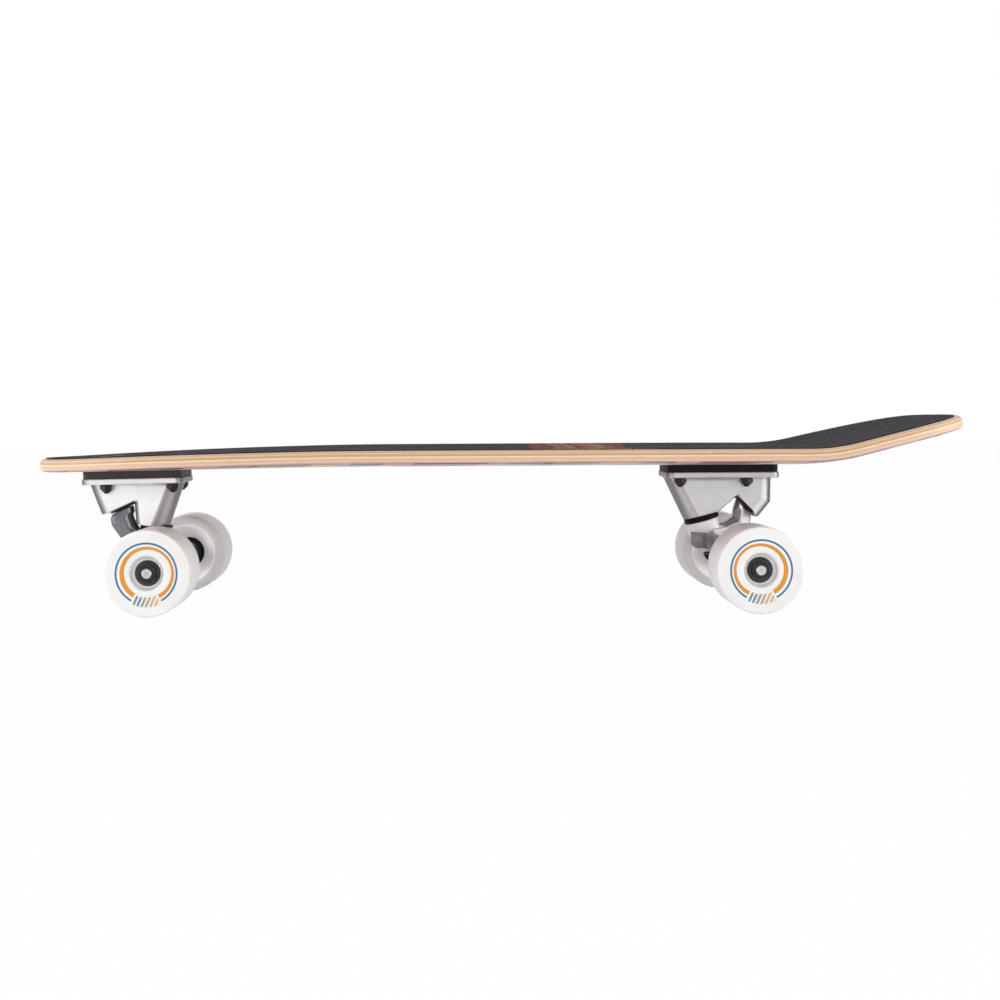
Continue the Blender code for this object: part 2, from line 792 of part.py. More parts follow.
def build_pivot_cup(truck, frame):
    """The urethane cup in the pivot block, trimmed level with the block's face."""
    inner = PIVOT_PIN_RADIUS + GAP
    back = cup_back()
    points = [(0.0, back), (cup_outer_radius(), back), (cup_outer_radius(), -PIVOT_CUP_DEPTH)]
    points += [(inner, -PIVOT_CUP_DEPTH), (inner, 0.0)]
    points += [(inner * math.cos(math.radians(a)), inner * math.sin(math.radians(a)))
               for a in (30, 60)]
    points.append((0.0, inner))
    name = truck.name + "_pivot_cup"
    cup = turned(name, points, SMALL_FACETS, look=BLACK_URETHANE, **pivot_place(truck, frame))
    low, high = Vector(truck.pivot_face_low), Vector(truck.pivot_face_high)
    middle = (low + high) / 2
    run = high - low
    slope = math.atan2(run.y, run.x)
    size = 4 * cup_outer_radius()
    trim = add(
        truck.name + "_cup_trim",
        cylinder_mesh("cup_trim", size, PIVOT_CUP_LIP, size, SMALL_FACETS),
        parent=frame, at=(middle.x, 0.0, middle.y), turn=(0.0, -slope, 0.0),
    )
    cut(cup, trim)
    return cup


def build_kingpin_stack(truck, frame):
    """Kingpin, bushings, washers and nut."""
    place = kingpin_place(truck, frame)
    plate_high = deck_above_axle(truck) - stack_under_deck()
    head_top = kingpin_head_top(truck, plate_high)
    washer_high = -lower_washer_top()
    nut_high = washer_high - WASHER_THICKNESS - GAP
    nut_low = nut_high - KINGPIN_NUT_HEIGHT
    shank_low = nut_low - KINGPIN_BEYOND_NUT
    name = truck.name + "_kingpin"
    kingpin = add(
        name,
        hexagon_mesh(name, KINGPIN_HEAD_ACROSS_FLATS, head_top - KINGPIN_HEAD_HEIGHT, head_top),
        look=STEEL, **place,
    )
    shank = add(
        name + "_shank",
        cylinder_mesh(
            "kingpin_shank", KINGPIN_RADIUS, shank_low, head_top - KINGPIN_HEAD_HEIGHT / 2,
            SMALL_FACETS,
        ),
        **place,
    )
    join(kingpin, shank)
    hole = KINGPIN_RADIUS + GAP
    top_seat = RING_HEIGHT / 2 + GAP
    upper_radius = min(truck.ring_radius, truck.boss_radius)
    turned(
        truck.name + "_upper_bushing",
        ring_profile(upper_radius, hole, top_seat, top_seat + UPPER_BUSHING_HEIGHT),
        SMALL_FACETS, closed=True, look=BLACK_URETHANE, **place,
    )
    low_seat = -top_seat
    low_end = low_seat - LOWER_BUSHING_HEIGHT
    wide = truck.ring_radius - 2 * RING_CHAMFER
    turned(
        truck.name + "_lower_bushing",
        [(wide, low_seat), (wide - LOWER_BUSHING_TAPER, low_end), (hole, low_end), (hole, low_seat)],
        SMALL_FACETS, closed=True, look=GREY_URETHANE, **place,
    )
    turned(
        truck.name + "_kingpin_washer",
        ring_profile(WASHER_RADIUS, hole, washer_high - WASHER_THICKNESS, washer_high),
        SMALL_FACETS, closed=True, look=STEEL, **place,
    )
    nut_name = truck.name + "_kingpin_nut"
    nut = add(
        nut_name, hexagon_mesh(nut_name, KINGPIN_HEAD_ACROSS_FLATS, nut_low, nut_high),
        look=STEEL, **place,
    )
    bore = add(
        truck.name + "_kingpin_nut_bore",
        cylinder_mesh("nut_bore", hole, nut_low - GAP, nut_high + GAP, SMALL_FACETS), **place,
    )
    cut(nut, bore)


def section(middle, along, up, half_along, half_up, angle):
    """Points round an oval section; along and up are unit vectors."""
    points = []
    for i in range(LOFT_FACETS):
        turn = 2 * math.pi * i / LOFT_FACETS + math.pi / LOFT_FACETS
        wide = half_along * math.copysign(abs(math.cos(turn)) ** 0.7, math.cos(turn))
        high = half_up * math.copysign(abs(math.sin(turn)) ** 0.7, math.sin(turn))
        first = wide * math.cos(angle) - high * math.sin(angle)
        second = wide * math.sin(angle) + high * math.cos(angle)
        points.append(middle + along * first + up * second)
    return points


def arm_mesh(truck, ring):
    """The arm that rises from the ring to the pivot."""
    rings = []
    for station in truck.arm:
        angle = math.radians(station.direction_deg)
        across = Vector((-math.sin(angle), 0.0, math.cos(angle)))
        middle = Vector((station.along, 0.0, station.up)) - ring
        side = Vector((0.0, 1.0, 0.0))
        rings.append(section(middle, across, side, station.half_depth, station.half_width, 0.0))
    return loft_mesh(truck.name + "_arm", rings)


def wing_mesh(truck, ring, side):
    """One wing of the hanger, from the ring's flank out to the axle housing."""
    rings = []
    for stop in truck.wing:
        middle = Vector((stop.along, side * stop.side, stop.up)) - ring
        rings.append(section(
            middle, Vector((1.0, 0.0, 0.0)), Vector((0.0, 0.0, 1.0)),
            stop.half_run, stop.half_depth, math.radians(stop.turn_deg),
        ))
    return loft_mesh(truck.name + "_wing", rings)


def housing_half_length():
    """Middle of the board to the end of the axle housing."""
    return OUTER_FACE_Y - BEARING_RECESS - 2 * BEARING_WIDTH - SPACER_LENGTH - GAP


def stack_room_mesh(truck):
    """Room that the lower bushing, washer and nut need while the hanger steers."""
    tilt = math.radians(truck.kingpin_tilt_deg)
    down = Vector((math.sin(tilt), 0.0, -math.cos(tilt)))
    along = Vector((math.cos(tilt), 0.0, math.sin(tilt)))
    side = Vector((0.0, 1.0, 0.0))
    steer = steering_angle(truck)
    axis = Vector((math.cos(steer), 0.0, math.sin(steer)))
    washer_low = lower_washer_top() + WASHER_THICKNESS
    nut_low = washer_low + GAP + KINGPIN_NUT_HEIGHT
    nut_corner = KINGPIN_HEAD_ACROSS_FLATS / math.sqrt(3)
    seat = RING_HEIGHT / 2
    discs = [(seat, truck.ring_radius - 2 * RING_CHAMFER + GAP, 0.0)]
    for share in (-1.0, -0.5, 0.0, 0.5, 1.0):
        angle = share * math.radians(truck.steer_deg)
        discs.append((washer_low, WASHER_RADIUS + ROOM, angle))
        discs.append((nut_low, nut_corner + ROOM, angle))
        discs.append((nut_low + KINGPIN_BEYOND_NUT + ROOM, KINGPIN_RADIUS + ROOM, angle))
    points = []
    for depth, radius, angle in discs:
        swing = Matrix.Rotation(angle, 3, axis)
        for i in range(SMALL_FACETS):
            turn = 2 * math.pi * i / SMALL_FACETS
            spot = down * depth + along * radius * math.cos(turn) + side * radius * math.sin(turn)
            points.append(swing @ spot)
    return hull_mesh(truck.name + "_stack_room", points)


def build_hanger(truck, frame):
    """The cast hanger: ring, pivot arm, two wings and the axle housing in one body."""
    ring_at = Vector((truck.ring_along, 0.0, truck.ring_up))
    name = truck.name + "_hanger"
    half = RING_HEIGHT / 2
    hanger = turned(
        name, ring_profile(truck.ring_radius, RING_HOLE_RADIUS, -half, half, RING_CHAMFER),
        SMALL_FACETS, closed=True, look=CAST_ALUMINIUM, **kingpin_place(truck, frame),
    )
    at = {"parent": frame, "at": tuple(ring_at)}
    arm = add(truck.name + "_arm", arm_mesh(truck, ring_at), **at)
    wings = [
        add(truck.name + word, wing_mesh(truck, ring_at, side), **at)
        for word, side in (("_wing_a", -1), ("_wing_b", 1))
    ]
    end = housing_half_length()
    flat = end - HOUSING_CHAMFER
    rim = HOUSING_RADIUS - HOUSING_CHAMFER
    housing = turned(
        truck.name + "_housing",
        [(0.0, end), (rim, end), (HOUSING_RADIUS, flat), (HOUSING_RADIUS, -flat), (rim, -end),
         (0.0, -end)],
        SMALL_FACETS, parent=frame, turn=(math.pi / 2, 0.0, 0.0),
    )
    pin_radius = PIVOT_PIN_RADIUS
    reach = math.dist((truck.arm[-1].along, truck.arm[-1].up), (truck.pivot_along, truck.pivot_up))
    pin_points = [(0.0, pin_radius)]
    pin_points += [(pin_radius * math.cos(math.radians(a)), pin_radius * math.sin(math.radians(a)))
                   for a in (60, 30, 0)]
    pin_points += [(pin_radius, -reach), (0.0, -reach)]
    pin = turned(truck.name + "_pin", pin_points, SMALL_FACETS, **pivot_place(truck, frame))
    join(hanger, housing, *wings, arm, pin)
    ring_hole = add(
        truck.name + "_ring_hole",
        cylinder_mesh("ring_hole", RING_HOLE_RADIUS, -2 * RING_HEIGHT, 2 * RING_HEIGHT, SMALL_FACETS),
        **kingpin_place(truck, frame),
    )
    axle_bore = add(
        truck.name + "_axle_bore",
        cylinder_mesh("axle_bore", AXLE_RADIUS + GAP, -OUTER_FACE_Y, OUTER_FACE_Y, SMALL_FACETS),
        parent=frame, turn=(math.pi / 2, 0.0, 0.0),
    )
    stack_room = add(truck.name + "_stack_room", stack_room_mesh(truck), **at)
    cut(hanger, stack_room, ring_hole, axle_bore)
    return hanger


def build_axle(truck, frame):
    """The axle, which runs through the hanger from nut to nut."""
    end = OUTER_FACE_Y - BEARING_RECESS + GAP + AXLE_NUT_HEIGHT + AXLE_BEYOND_NUT
    rim = AXLE_RADIUS - AXLE_CHAMFER
    flat = end - AXLE_CHAMFER
    turned(
        truck.name + "_axle",
        [(0.0, end), (rim, end), (AXLE_RADIUS, flat), (AXLE_RADIUS, -flat), (rim, -end), (0.0, -end)],
        FASTENER_FACETS, parent=frame, turn=(math.pi / 2, 0.0, 0.0), look=STEEL,
    )


def wheel_profile():
    """Closed profile of a wheel, from the outer face down the tread and back inside."""
    half = WHEEL_WIDTH / 2
    outer_lip = [
        (WHEEL_RADIUS - OUTER_LIP * (1 - math.sin(a)), half - OUTER_LIP * (1 - math.cos(a)))
        for a in (0.0, math.pi / 4, math.pi / 2)
    ]
    inner_lip = [
        (WHEEL_RADIUS - INNER_LIP * (1 - math.cos(a)), INNER_LIP * (1 - math.sin(a)) - half)
        for a in (0.0, math.pi / 6, math.pi / 3, math.pi / 2)
    ]
    outer_seat = half - BEARING_RECESS
    stop_high = outer_seat - BEARING_WIDTH - GAP
    stop_low = stop_high - SPACER_LENGTH + 2 * GAP
    inner_seat = stop_low - GAP - BEARING_WIDTH
    seat_radius = BEARING_RADIUS + GAP
    inside = [
        (DISH_THROAT_RADIUS, inner_seat - DISH_THROAT_LENGTH),
        (DISH_THROAT_RADIUS, inner_seat),
        (seat_radius, inner_seat),
        (seat_radius, stop_low), (CORE_STOP_RADIUS, stop_low),
        (CORE_STOP_RADIUS, stop_high), (seat_radius, stop_high),
        (seat_radius, outer_seat), (CORE_RECESS_RADIUS, outer_seat), (CORE_RECESS_RADIUS, half),
    ]
    return outer_lip + inner_lip + inside


def build_wheel(truck, frame, word, side):
    """One wheel with its bearings, spacer and nut; side is the world's +Y or -Y."""
    turn = (-side * truck.outboard * math.pi / 2, 0.0, 0.0)
    local_side = side * truck.outboard
    label = f"{truck.name}_{word}"
    middle = OUTER_FACE_Y - WHEEL_WIDTH / 2
    at = (0.0, local_side * middle, 0.0)
    place = {"parent": frame, "at": at, "turn": turn}
    turned(
        f"{label}_wheel", wheel_profile(), WHEEL_FACETS, closed=True, look=URETHANE, **place,
    )
    outer_seat = WHEEL_WIDTH / 2 - BEARING_RECESS
    inner_seat = outer_seat - BEARING_WIDTH - SPACER_LENGTH
    for spot, high in (("outer", outer_seat), ("inner", inner_seat)):
        turned(
            f"{label}_{spot}_bearing", bearing_profile(high), BEARING_FACETS, closed=True,
            look=BLACK_STEEL, **place,
        )
    spacer_high = outer_seat - BEARING_WIDTH - GAP
    turned(
        f"{label}_spacer",
        ring_profile(SPACER_RADIUS, AXLE_RADIUS + GAP, spacer_high - SPACER_LENGTH + 2 * GAP,
                     spacer_high),
        FASTENER_FACETS, closed=True, look=STEEL, **place,
    )
    nut_low = outer_seat + GAP
    nut_high = nut_low + AXLE_NUT_HEIGHT
    nut = add(
        f"{label}_axle_nut",
        hexagon_mesh("axle_nut", AXLE_NUT_ACROSS_FLATS, nut_low, nut_high),
        look=BLACK_STEEL, **place,
    )
    bore = add(
        f"{label}_axle_nut_bore",
        cylinder_mesh("axle_nut_bore", AXLE_RADIUS + GAP, nut_low - GAP, nut_high + GAP,
                      FASTENER_FACETS),
        **place,
    )
    cut(nut, bore)


def bearing_profile(high):
    """A sealed bearing: two races with sunk shields between them."""
    low = high - BEARING_WIDTH
    bore = AXLE_RADIUS + GAP
    outer_race = BEARING_RADIUS - OUTER_RACE_WALL
    return [
        (BEARING_RADIUS, high), (BEARING_RADIUS, low),
        (outer_race, low), (outer_race, low + SHIELD_DEPTH),
        (INNER_RACE_RADIUS, low + SHIELD_DEPTH), (INNER_RACE_RADIUS, low),
        (bore, low), (bore, high),
        (INNER_RACE_RADIUS, high), (INNER_RACE_RADIUS, high - SHIELD_DEPTH),
        (outer_race, high - SHIELD_DEPTH), (outer_race, high),
    ]


def build_fasteners(truck, frame, deck, grip, riser, plate):
    """The four deck bolts and nuts, and the holes that they pass."""
    top = deck_above_axle(truck) + WOOD_THICKNESS + GAP + GRIP_THICKNESS
    plate_low = deck_above_axle(truck) - stack_under_deck() - PLATE_THICKNESS
    nut_high = plate_low - GAP
    nut_low = nut_high - NUT_HEIGHT
    end = nut_low - BOLT_BEYOND_NUT
    neck = top - BOLT_HEAD_HEIGHT
    for number, (along, side) in bolt_spots(truck):
        spot = {"parent": frame, "at": (along, side, 0.0)}
        turned(
            f"{truck.name}_bolt_{number}",
            [(0.0, top), (BOLT_HEAD_RADIUS, top), (BOLT_RADIUS, neck), (BOLT_RADIUS, end),
             (0.0, end)],
            FASTENER_FACETS, look=BLACK_STEEL, **spot,
        )
        nut = add(
            f"{truck.name}_nut_{number}",
            hexagon_mesh("nut", NUT_ACROSS_FLATS, nut_low, nut_high), look=BLACK_STEEL, **spot,
        )
        hole = turned(
            f"{truck.name}_hole_{number}",
            [(0.0, top + GAP), (BOLT_HEAD_RADIUS + GAP, top + GAP), (BOLT_HEAD_RADIUS + GAP, top),
             (BOLT_RADIUS + GAP, neck), (BOLT_RADIUS + GAP, end - GAP), (0.0, end - GAP)],
            FASTENER_FACETS, **spot,
        )
        for piece in (deck, grip, riser, plate, nut):
            cut(piece, hole)


def build_truck(truck, deck, grip):
    """Everything that one truck holds, from riser to wheels."""
    frame = truck_frame(truck)
    riser = build_riser(truck, frame)
    plate = build_baseplate(truck, frame)
    build_pivot_cup(truck, frame)
    build_kingpin_stack(truck, frame)
    build_hanger(truck, frame)
    build_axle(truck, frame)
    for word, side in (("left", -1), ("right", 1)):
        build_wheel(truck, frame, word, side)
    build_fasteners(truck, frame, deck, grip, riser, plate)


def main():
    """Build the whole board."""
    deck, grip = build_deck()
    for truck in (FRONT, REAR):
        build_truck(truck, deck, grip)


clear_scene()
PARTS = new_collection("surfskate")
CUTTERS = new_collection("cutters")
main()
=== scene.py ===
"""Looks of a surfskate: a pressed board, cast trucks that lean and steer, soft white wheels."""

import logging
import math
from collections.abc import Callable, Iterator, Sequence
from dataclasses import dataclass
from enum import Enum

import bmesh
import bpy
import numpy as np
from mathutils import Matrix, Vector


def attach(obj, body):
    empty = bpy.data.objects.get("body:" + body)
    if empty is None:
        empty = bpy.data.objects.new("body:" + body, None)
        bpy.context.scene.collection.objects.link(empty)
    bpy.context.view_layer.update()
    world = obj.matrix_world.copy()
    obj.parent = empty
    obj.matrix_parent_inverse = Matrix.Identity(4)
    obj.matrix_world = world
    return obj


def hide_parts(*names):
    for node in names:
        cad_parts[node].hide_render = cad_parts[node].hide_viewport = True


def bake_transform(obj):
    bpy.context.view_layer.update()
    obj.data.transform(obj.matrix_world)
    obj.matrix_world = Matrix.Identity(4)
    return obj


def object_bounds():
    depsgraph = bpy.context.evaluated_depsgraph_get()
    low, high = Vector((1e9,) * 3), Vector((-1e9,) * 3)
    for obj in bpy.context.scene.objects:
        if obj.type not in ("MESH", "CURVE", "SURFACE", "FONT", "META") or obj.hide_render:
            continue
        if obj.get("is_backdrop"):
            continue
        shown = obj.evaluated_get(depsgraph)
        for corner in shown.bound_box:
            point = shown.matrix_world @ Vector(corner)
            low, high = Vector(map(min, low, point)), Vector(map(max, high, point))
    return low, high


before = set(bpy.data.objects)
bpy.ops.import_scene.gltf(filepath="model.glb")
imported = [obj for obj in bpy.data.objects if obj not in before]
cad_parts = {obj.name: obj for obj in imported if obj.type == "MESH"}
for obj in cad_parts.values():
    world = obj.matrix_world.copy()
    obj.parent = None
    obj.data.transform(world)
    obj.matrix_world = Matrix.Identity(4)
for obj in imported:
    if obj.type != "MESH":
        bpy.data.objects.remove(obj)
FRAME_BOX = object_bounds()

Array = np.ndarray
Colour = tuple[float, float, float, float]
Stops = Sequence[tuple[float, Colour]]
Palette = dict[str, bpy.types.Material]
Outline = Sequence[tuple[float, ...]]
Shape = Callable[[Array, Array, Array], tuple[Array, Array]]
Trim = Callable[[Array, Array], Array]
Socket = bpy.types.NodeSocket

LOG = logging.getLogger("surfskate")
FULL_TURN = 2.0 * math.pi
WELD = 2e-6
GAP = 0.0003
SOFT_CREASE = 38.0
HARD_CREASE = 25.0


class End(Enum):
    """The two ends of the board, by the way that they point along X."""

    FRONT = -1
    REAR = 1


class Side(Enum):
    """The two sides of the board, by the way that they point along Y."""

    LEFT = -1
    RIGHT = 1


def paint(red: int, green: int, blue: int) -> Colour:
    """Turn a colour as a screen shows it, 0 to 255, into the linear one that a shader takes.

    Args:
        red: Red, 0 to 255.
        green: Green, 0 to 255.
        blue: Blue, 0 to 255.

    Returns:
        The linear colour: below a small limit a straight line, above it a power of 2.4.
    """
    level = np.array([red, green, blue]) / 255.0
    linear = np.where(level <= 0.04045, level / 12.92, ((level + 0.055) / 1.055) ** 2.4)
    return (float(linear[0]), float(linear[1]), float(linear[2]), 1.0)


@dataclass(frozen=True, eq=False)
class Place:
    """Where a piece stands: an origin, and its own x, y and z directions as columns."""

    origin: Array
    turn: Array

    def world(self, points: Array) -> Array:
        """Take points from this place to the world."""
        return points @ self.turn.T + self.origin

    def local(self, points: Array) -> Array:
        """Take points from the world to this place."""
        return (points - self.origin) @ self.turn

    def moved(self, x: float = 0.0, y: float = 0.0, z: float = 0.0) -> "Place":
        """Give the place whose origin is this one's point (x, y, z)."""
        return Place(self.world(np.array([x, y, z])), self.turn)

    def tilted(self, angle: float) -> "Place":
        """Turn the place round its own y by an angle in radians."""
        c, s = math.cos(angle), math.sin(angle)
        return Place(self.origin, self.turn @ np.array([[c, 0, s], [0, 1, 0], [-s, 0, c]]))


@dataclass(eq=False)
class Surface:
    """A grid of points, rows by columns, with its UV and the number of its finish."""

    points: Array
    uv: Array | None = None
    finish: int = 0


def rounded(corners: Outline, steps: int = 5, closed: bool = False) -> Array:
    """Round the corners of a flat profile.

    Each corner is replaced by the parabola that touches both its sides at a given reach from it:
    (1 - s)^2 start + 2 s (1 - s) corner + s^2 end, for s from 0 to 1.

    Args:
        corners: First number, second number and reach of each corner.
        steps: Points on each rounding.
        closed: Whether the last corner joins the first.

    Returns:
        The profile, one row for each point.
    """
    at, reach = np.hsplit(np.array(corners, dtype=float), [2])
    before, after = np.roll(at, 1, axis=0) - at, np.roll(at, -1, axis=0) - at
    before /= np.maximum(np.linalg.norm(before, axis=1, keepdims=True), 1e-12)
    after /= np.maximum(np.linalg.norm(after, axis=1, keepdims=True), 1e-12)
    s = np.linspace(0.0, 1.0, steps)[None, :, None]
    start, end = (at + before * reach)[:, None], (at + after * reach)[:, None]
    profile = ((1 - s) ** 2 * start + 2 * s * (1 - s) * at[:, None] + s**2 * end).reshape(-1, 2)
    if closed:
        profile = np.vstack([profile, profile[:1]])
    step = np.linalg.norm(np.diff(profile, axis=0), axis=1)
    return profile[np.append(step > 1e-7, True)]


def revolve(profile: Array, place: Place, segments: int = 64, finish: int = 0,
            shape: Shape | None = None) -> Surface:
    """Turn a profile round the z of a place.

    A point at angle a is (radius cos a, radius sin a, height).

    Args:
        profile: Radius and height of each row.
        place: Where the axis stands.
        segments: Faces round the axis.
        finish: Number of the finish.
        shape: Changes the radius and height grids by the angle, for flats, threads and recesses.

    Returns:
        The turned surface, its UV being the angle's share of a turn and the length run.
    """
    angle = np.linspace(0.0, FULL_TURN, segments + 1)[None, :]
    radius, height = profile[:, :1] + 0 * angle, profile[:, 1:] + 0 * angle
    if shape is not None:
        radius, height = shape(radius, height, angle)
    points = np.stack([radius * np.cos(angle), radius * np.sin(angle), height], axis=-1)
    run = np.append(0.0, np.cumsum(np.linalg.norm(np.diff(profile, axis=0), axis=1)))
    uv = np.stack(np.broadcast_arrays(angle / FULL_TURN, run[:, None]), axis=-1)
    return Surface(place.world(points), uv, finish)


def weld(name: str, surfaces: Sequence[Surface], finishes: Sequence[bpy.types.Material],
         crease: float = SOFT_CREASE) -> bpy.types.Object:
    """Make one object of several grids, whose touching rims and poles are merged.

    Args:
        name: Name of the object.
        surfaces: The grids, which together close.
        finishes: Materials, by the number that the grids give.
        crease: Angle in degrees past which an edge stays sharp.

    Returns:
        The object, at the origin, with its faces outwards.
    """
    points = np.vstack([grid.points.reshape(-1, 3) for grid in surfaces])
    quads, pairs, numbers, start = [], [], [], 0
    for grid in surfaces:
        rows, columns = grid.points.shape[:2]
        index = start + np.arange(rows * columns).reshape(rows, columns)
        around = [index[:-1, :-1], index[:-1, 1:], index[1:, 1:], index[1:, :-1]]
        quads.append(np.stack(around, axis=-1).reshape(-1, 4))
        uv = np.zeros((rows, columns, 2)) if grid.uv is None else grid.uv
        pairs.append(uv.reshape(-1, 2))
        numbers.append(np.full(len(quads[-1]), grid.finish))
        start += rows * columns
    faces = np.vstack(quads)
    mesh = bpy.data.meshes.new(name)
    mesh.from_pydata(points.tolist(), [], faces.tolist())
    layer = mesh.uv_layers.new(name="surface")
    layer.data.foreach_set("uv", np.vstack(pairs)[faces.ravel()].ravel())
    mesh.polygons.foreach_set("material_index", np.concatenate(numbers).astype(np.int32))
    tidy(mesh)
    mesh.shade_smooth()
    mesh.set_sharp_from_angle(angle=math.radians(crease))
    piece = bpy.data.objects.new(name, mesh)
    bpy.context.scene.collection.objects.link(piece)
    for material in finishes:
        mesh.materials.append(material)
    return piece


def flat_sided(low: float, high: float, half: float, up: float, inboard: float,
               outboard: float, steps: int = 16) -> Array:
    """Outline of a rectangle with wide inboard corners and tight outboard ones.

    Each corner is a quarter of an ellipse, which is a circle where the width allows it.

    Args:
        low: Inboard end.
        high: Outboard end.
        half: Half its width.
        up: Height of the outline.
        inboard: Radius of the inboard corners.
        outboard: Radius of the outboard corners.
        steps: Points on each corner.

    Returns:
        The open outline, one row for each point.
    """
    turn = np.linspace(0.0, math.pi / 2, steps) + np.arange(4)[:, None] * math.pi / 2
    corner = np.array([outboard, inboard, inboard, outboard])[:, None]
    beside = np.minimum(corner, half - 0.0005)
    x = np.array([high, low, low, high])[:, None] - np.array([1, -1, -1, 1])[:, None] * corner
    y = np.array([1, 1, -1, -1])[:, None] * (half - beside)
    x, y = x + corner * np.cos(turn), y + beside * np.sin(turn)
    return np.stack([x.ravel(), y.ravel(), np.full(x.size, up)], axis=1)


def prism(place: Place, plan: Outline, half: float, reach: float = 0.001,
          chamfer: float = 0.0006) -> Surface:
    """Carry a flat outline in a place's x and z across its y.

    The rows are the outline's middle, the outline at both sides with a small chamfer, and the
    middle again.

    Args:
        place: The place.
        plan: Corners of the outline, x and z.
        half: Half the width across.
        reach: Reach of the rounding at each corner.
        chamfer: Height of the chamfer at both sides.

    Returns:
        The closed surface.
    """
    outline = rounded([(x, z, reach) for x, z in plan], 4, closed=True)
    middle = outline[:-1].mean(axis=0)
    share = np.array([0.0, 0.94, 1.0, 1.0, 0.94, 0.0])[:, None]
    x, z = (middle[k] + share * (outline[:, k] - middle[k]) for k in (0, 1))
    flat = half - chamfer
    y = np.array([-half, -half, -flat, flat, half, half])[:, None]
    return Surface(place.world(np.stack(np.broadcast_arrays(x, y, z), axis=-1)))


def rod(radius: float, heights: Array) -> Array:
    """Give the profile of a rod, one row at each height."""
    return np.stack([np.full_like(heights, radius), heights], axis=1)


def threaded(radius: Array, height: Array, angle: Array, pitch: float, depth: float,
             where: Array) -> Array:
    """Cut a thread: a triangle wave of height over pitch less the share of a turn.

    Args:
        radius: Radius of the points.
        height: Their height.
        angle: Their angle.
        pitch: Rise of the thread in a turn.
        depth: Its depth.
        where: Where it is cut.

    Returns:
        The radius with the thread.
    """
    wave = np.abs(np.mod(height / pitch - angle / FULL_TURN, 1.0) * 2 - 1)
    return radius - depth * wave * where


def hexagon_radius(angle: Array, flats: float) -> Array:
    """Give a hexagon's reach: half its width over the cosine of the angle off a flat's middle."""
    return flats / 2 / np.cos(np.mod(angle + math.pi / 6, math.pi / 3) - math.pi / 6)


def hexagon_nut(place: Place, flats: float, low: float, high: float, bolt: float,
                collar: float = 0.0) -> Surface:
    """Turn a hexagon nut whose corners are cut by cones, with a round collar below.

    The radius is the least of the hexagon's and of a cone that widens 1.73 for each unit from
    the nut's end.

    Args:
        place: The nut's place, z up its thread.
        flats: Width across the flats.
        low: Height of its lower end.
        high: Height of its upper end.
        bolt: Radius of the bolt in it.
        collar: Share of its height that is a round collar, at the low end.

    Returns:
        The surface.
    """
    hole = bolt + GAP / 2
    seat = low + collar * (high - low)
    rise = np.array([0.0, 0.3, 0.6, 0.8, 1.0, 1.15]) * 0.00066 * flats / 0.0095
    cone = 0.47 * flats + rise * math.sqrt(3)
    lower = np.stack([cone, seat + rise], 1)
    upper = np.stack([cone, high - rise], 1)[::-1]
    inside = [[hole + 0.0003, high], [hole, high - 0.0003], [hole, low + 0.0004]]
    if collar:
        wall = 0.40 * flats
        dome = rounded([(hole + 0.0002, low + 0.0004, 0.0), (hole + 0.0004, low, 0.0002),
                        (wall, low, 0.0007), (wall + 0.0002, seat, 0.0001)], 5)
        lower = np.vstack([dome, lower])
    profile = np.vstack([lower, upper, inside, lower[:1]])
    return revolve(profile, place, 72, 0,
                   lambda r, z, a: (np.minimum(r, hexagon_radius(a, flats)), z))


def tidy(mesh: bpy.types.Mesh) -> None:
    """Merge the doubles of a mesh and turn its faces outwards.

    Args:
        mesh: The mesh, which is changed in place.
    """
    work = bmesh.new()
    work.from_mesh(mesh)
    bmesh.ops.remove_doubles(work, verts=work.verts, dist=WELD)
    bmesh.ops.recalc_face_normals(work, faces=work.faces)
    work.to_mesh(mesh)
    work.free()


def read(items: bpy.types.bpy_prop_collection, key: str, width: int, kind: type) -> Array:
    """Read a value of all the items of a mesh as rows."""
    values = np.empty(len(items) * width, dtype=kind)
    items.foreach_get(key, values)
    return values.reshape(-1, width)


def soften(points: Array, edges: Array, triangles: Array, hollow: float, ridge: float,
           rounds: int) -> Array:
    """Round a casting's corners as its sand mould would.

    In each round a point moves along its normal by half of what its neighbours' middle lies off
    it, less what a round of the wanted radius would show, which is the squared edge length over
    four radii. Hollow corners fill until they reach one radius and ridges wear down to the other.

    Args:
        points: The casting's points.
        edges: Its edges, as pairs of point numbers.
        triangles: Its triangles.
        hollow: Radius that hollow corners reach.
        ridge: Radius that ridges reach.
        rounds: How often it is done.

    Returns:
        The moved points.
    """
    count = len(points)
    ends, others = edges.T.ravel(), edges.T[::-1].ravel()
    share = np.bincount(ends, minlength=count)[:, None]

    def gathered(index: Array, values: Array) -> Array:
        """Sum values at the points that they belong to."""
        return np.stack([np.bincount(index, values[:, k], count) for k in range(3)], axis=1)

    reach = np.linalg.norm(points[ends] - points[others], axis=1)
    square = np.bincount(ends, reach**2, count) / share[:, 0]
    for _ in range(rounds):
        a, b, c = (points[triangles[:, k]] for k in range(3))
        across = np.cross(b - a, c - a)
        normal = sum(gathered(triangles[:, k], across) for k in range(3))
        normal /= np.maximum(np.linalg.norm(normal, axis=1, keepdims=True), 1e-15)
        pull = gathered(ends, points[others]) / share - points
        out = np.sum(pull * normal, axis=1)
        fill, wear = out - square / (4 * hollow), out + square / (4 * ridge)
        step = np.maximum(fill, 0) + np.minimum(wear, 0)
        slide = pull - out[:, None] * normal
        points = points + 0.5 * step[:, None] * normal + 0.2 * slide
    return points


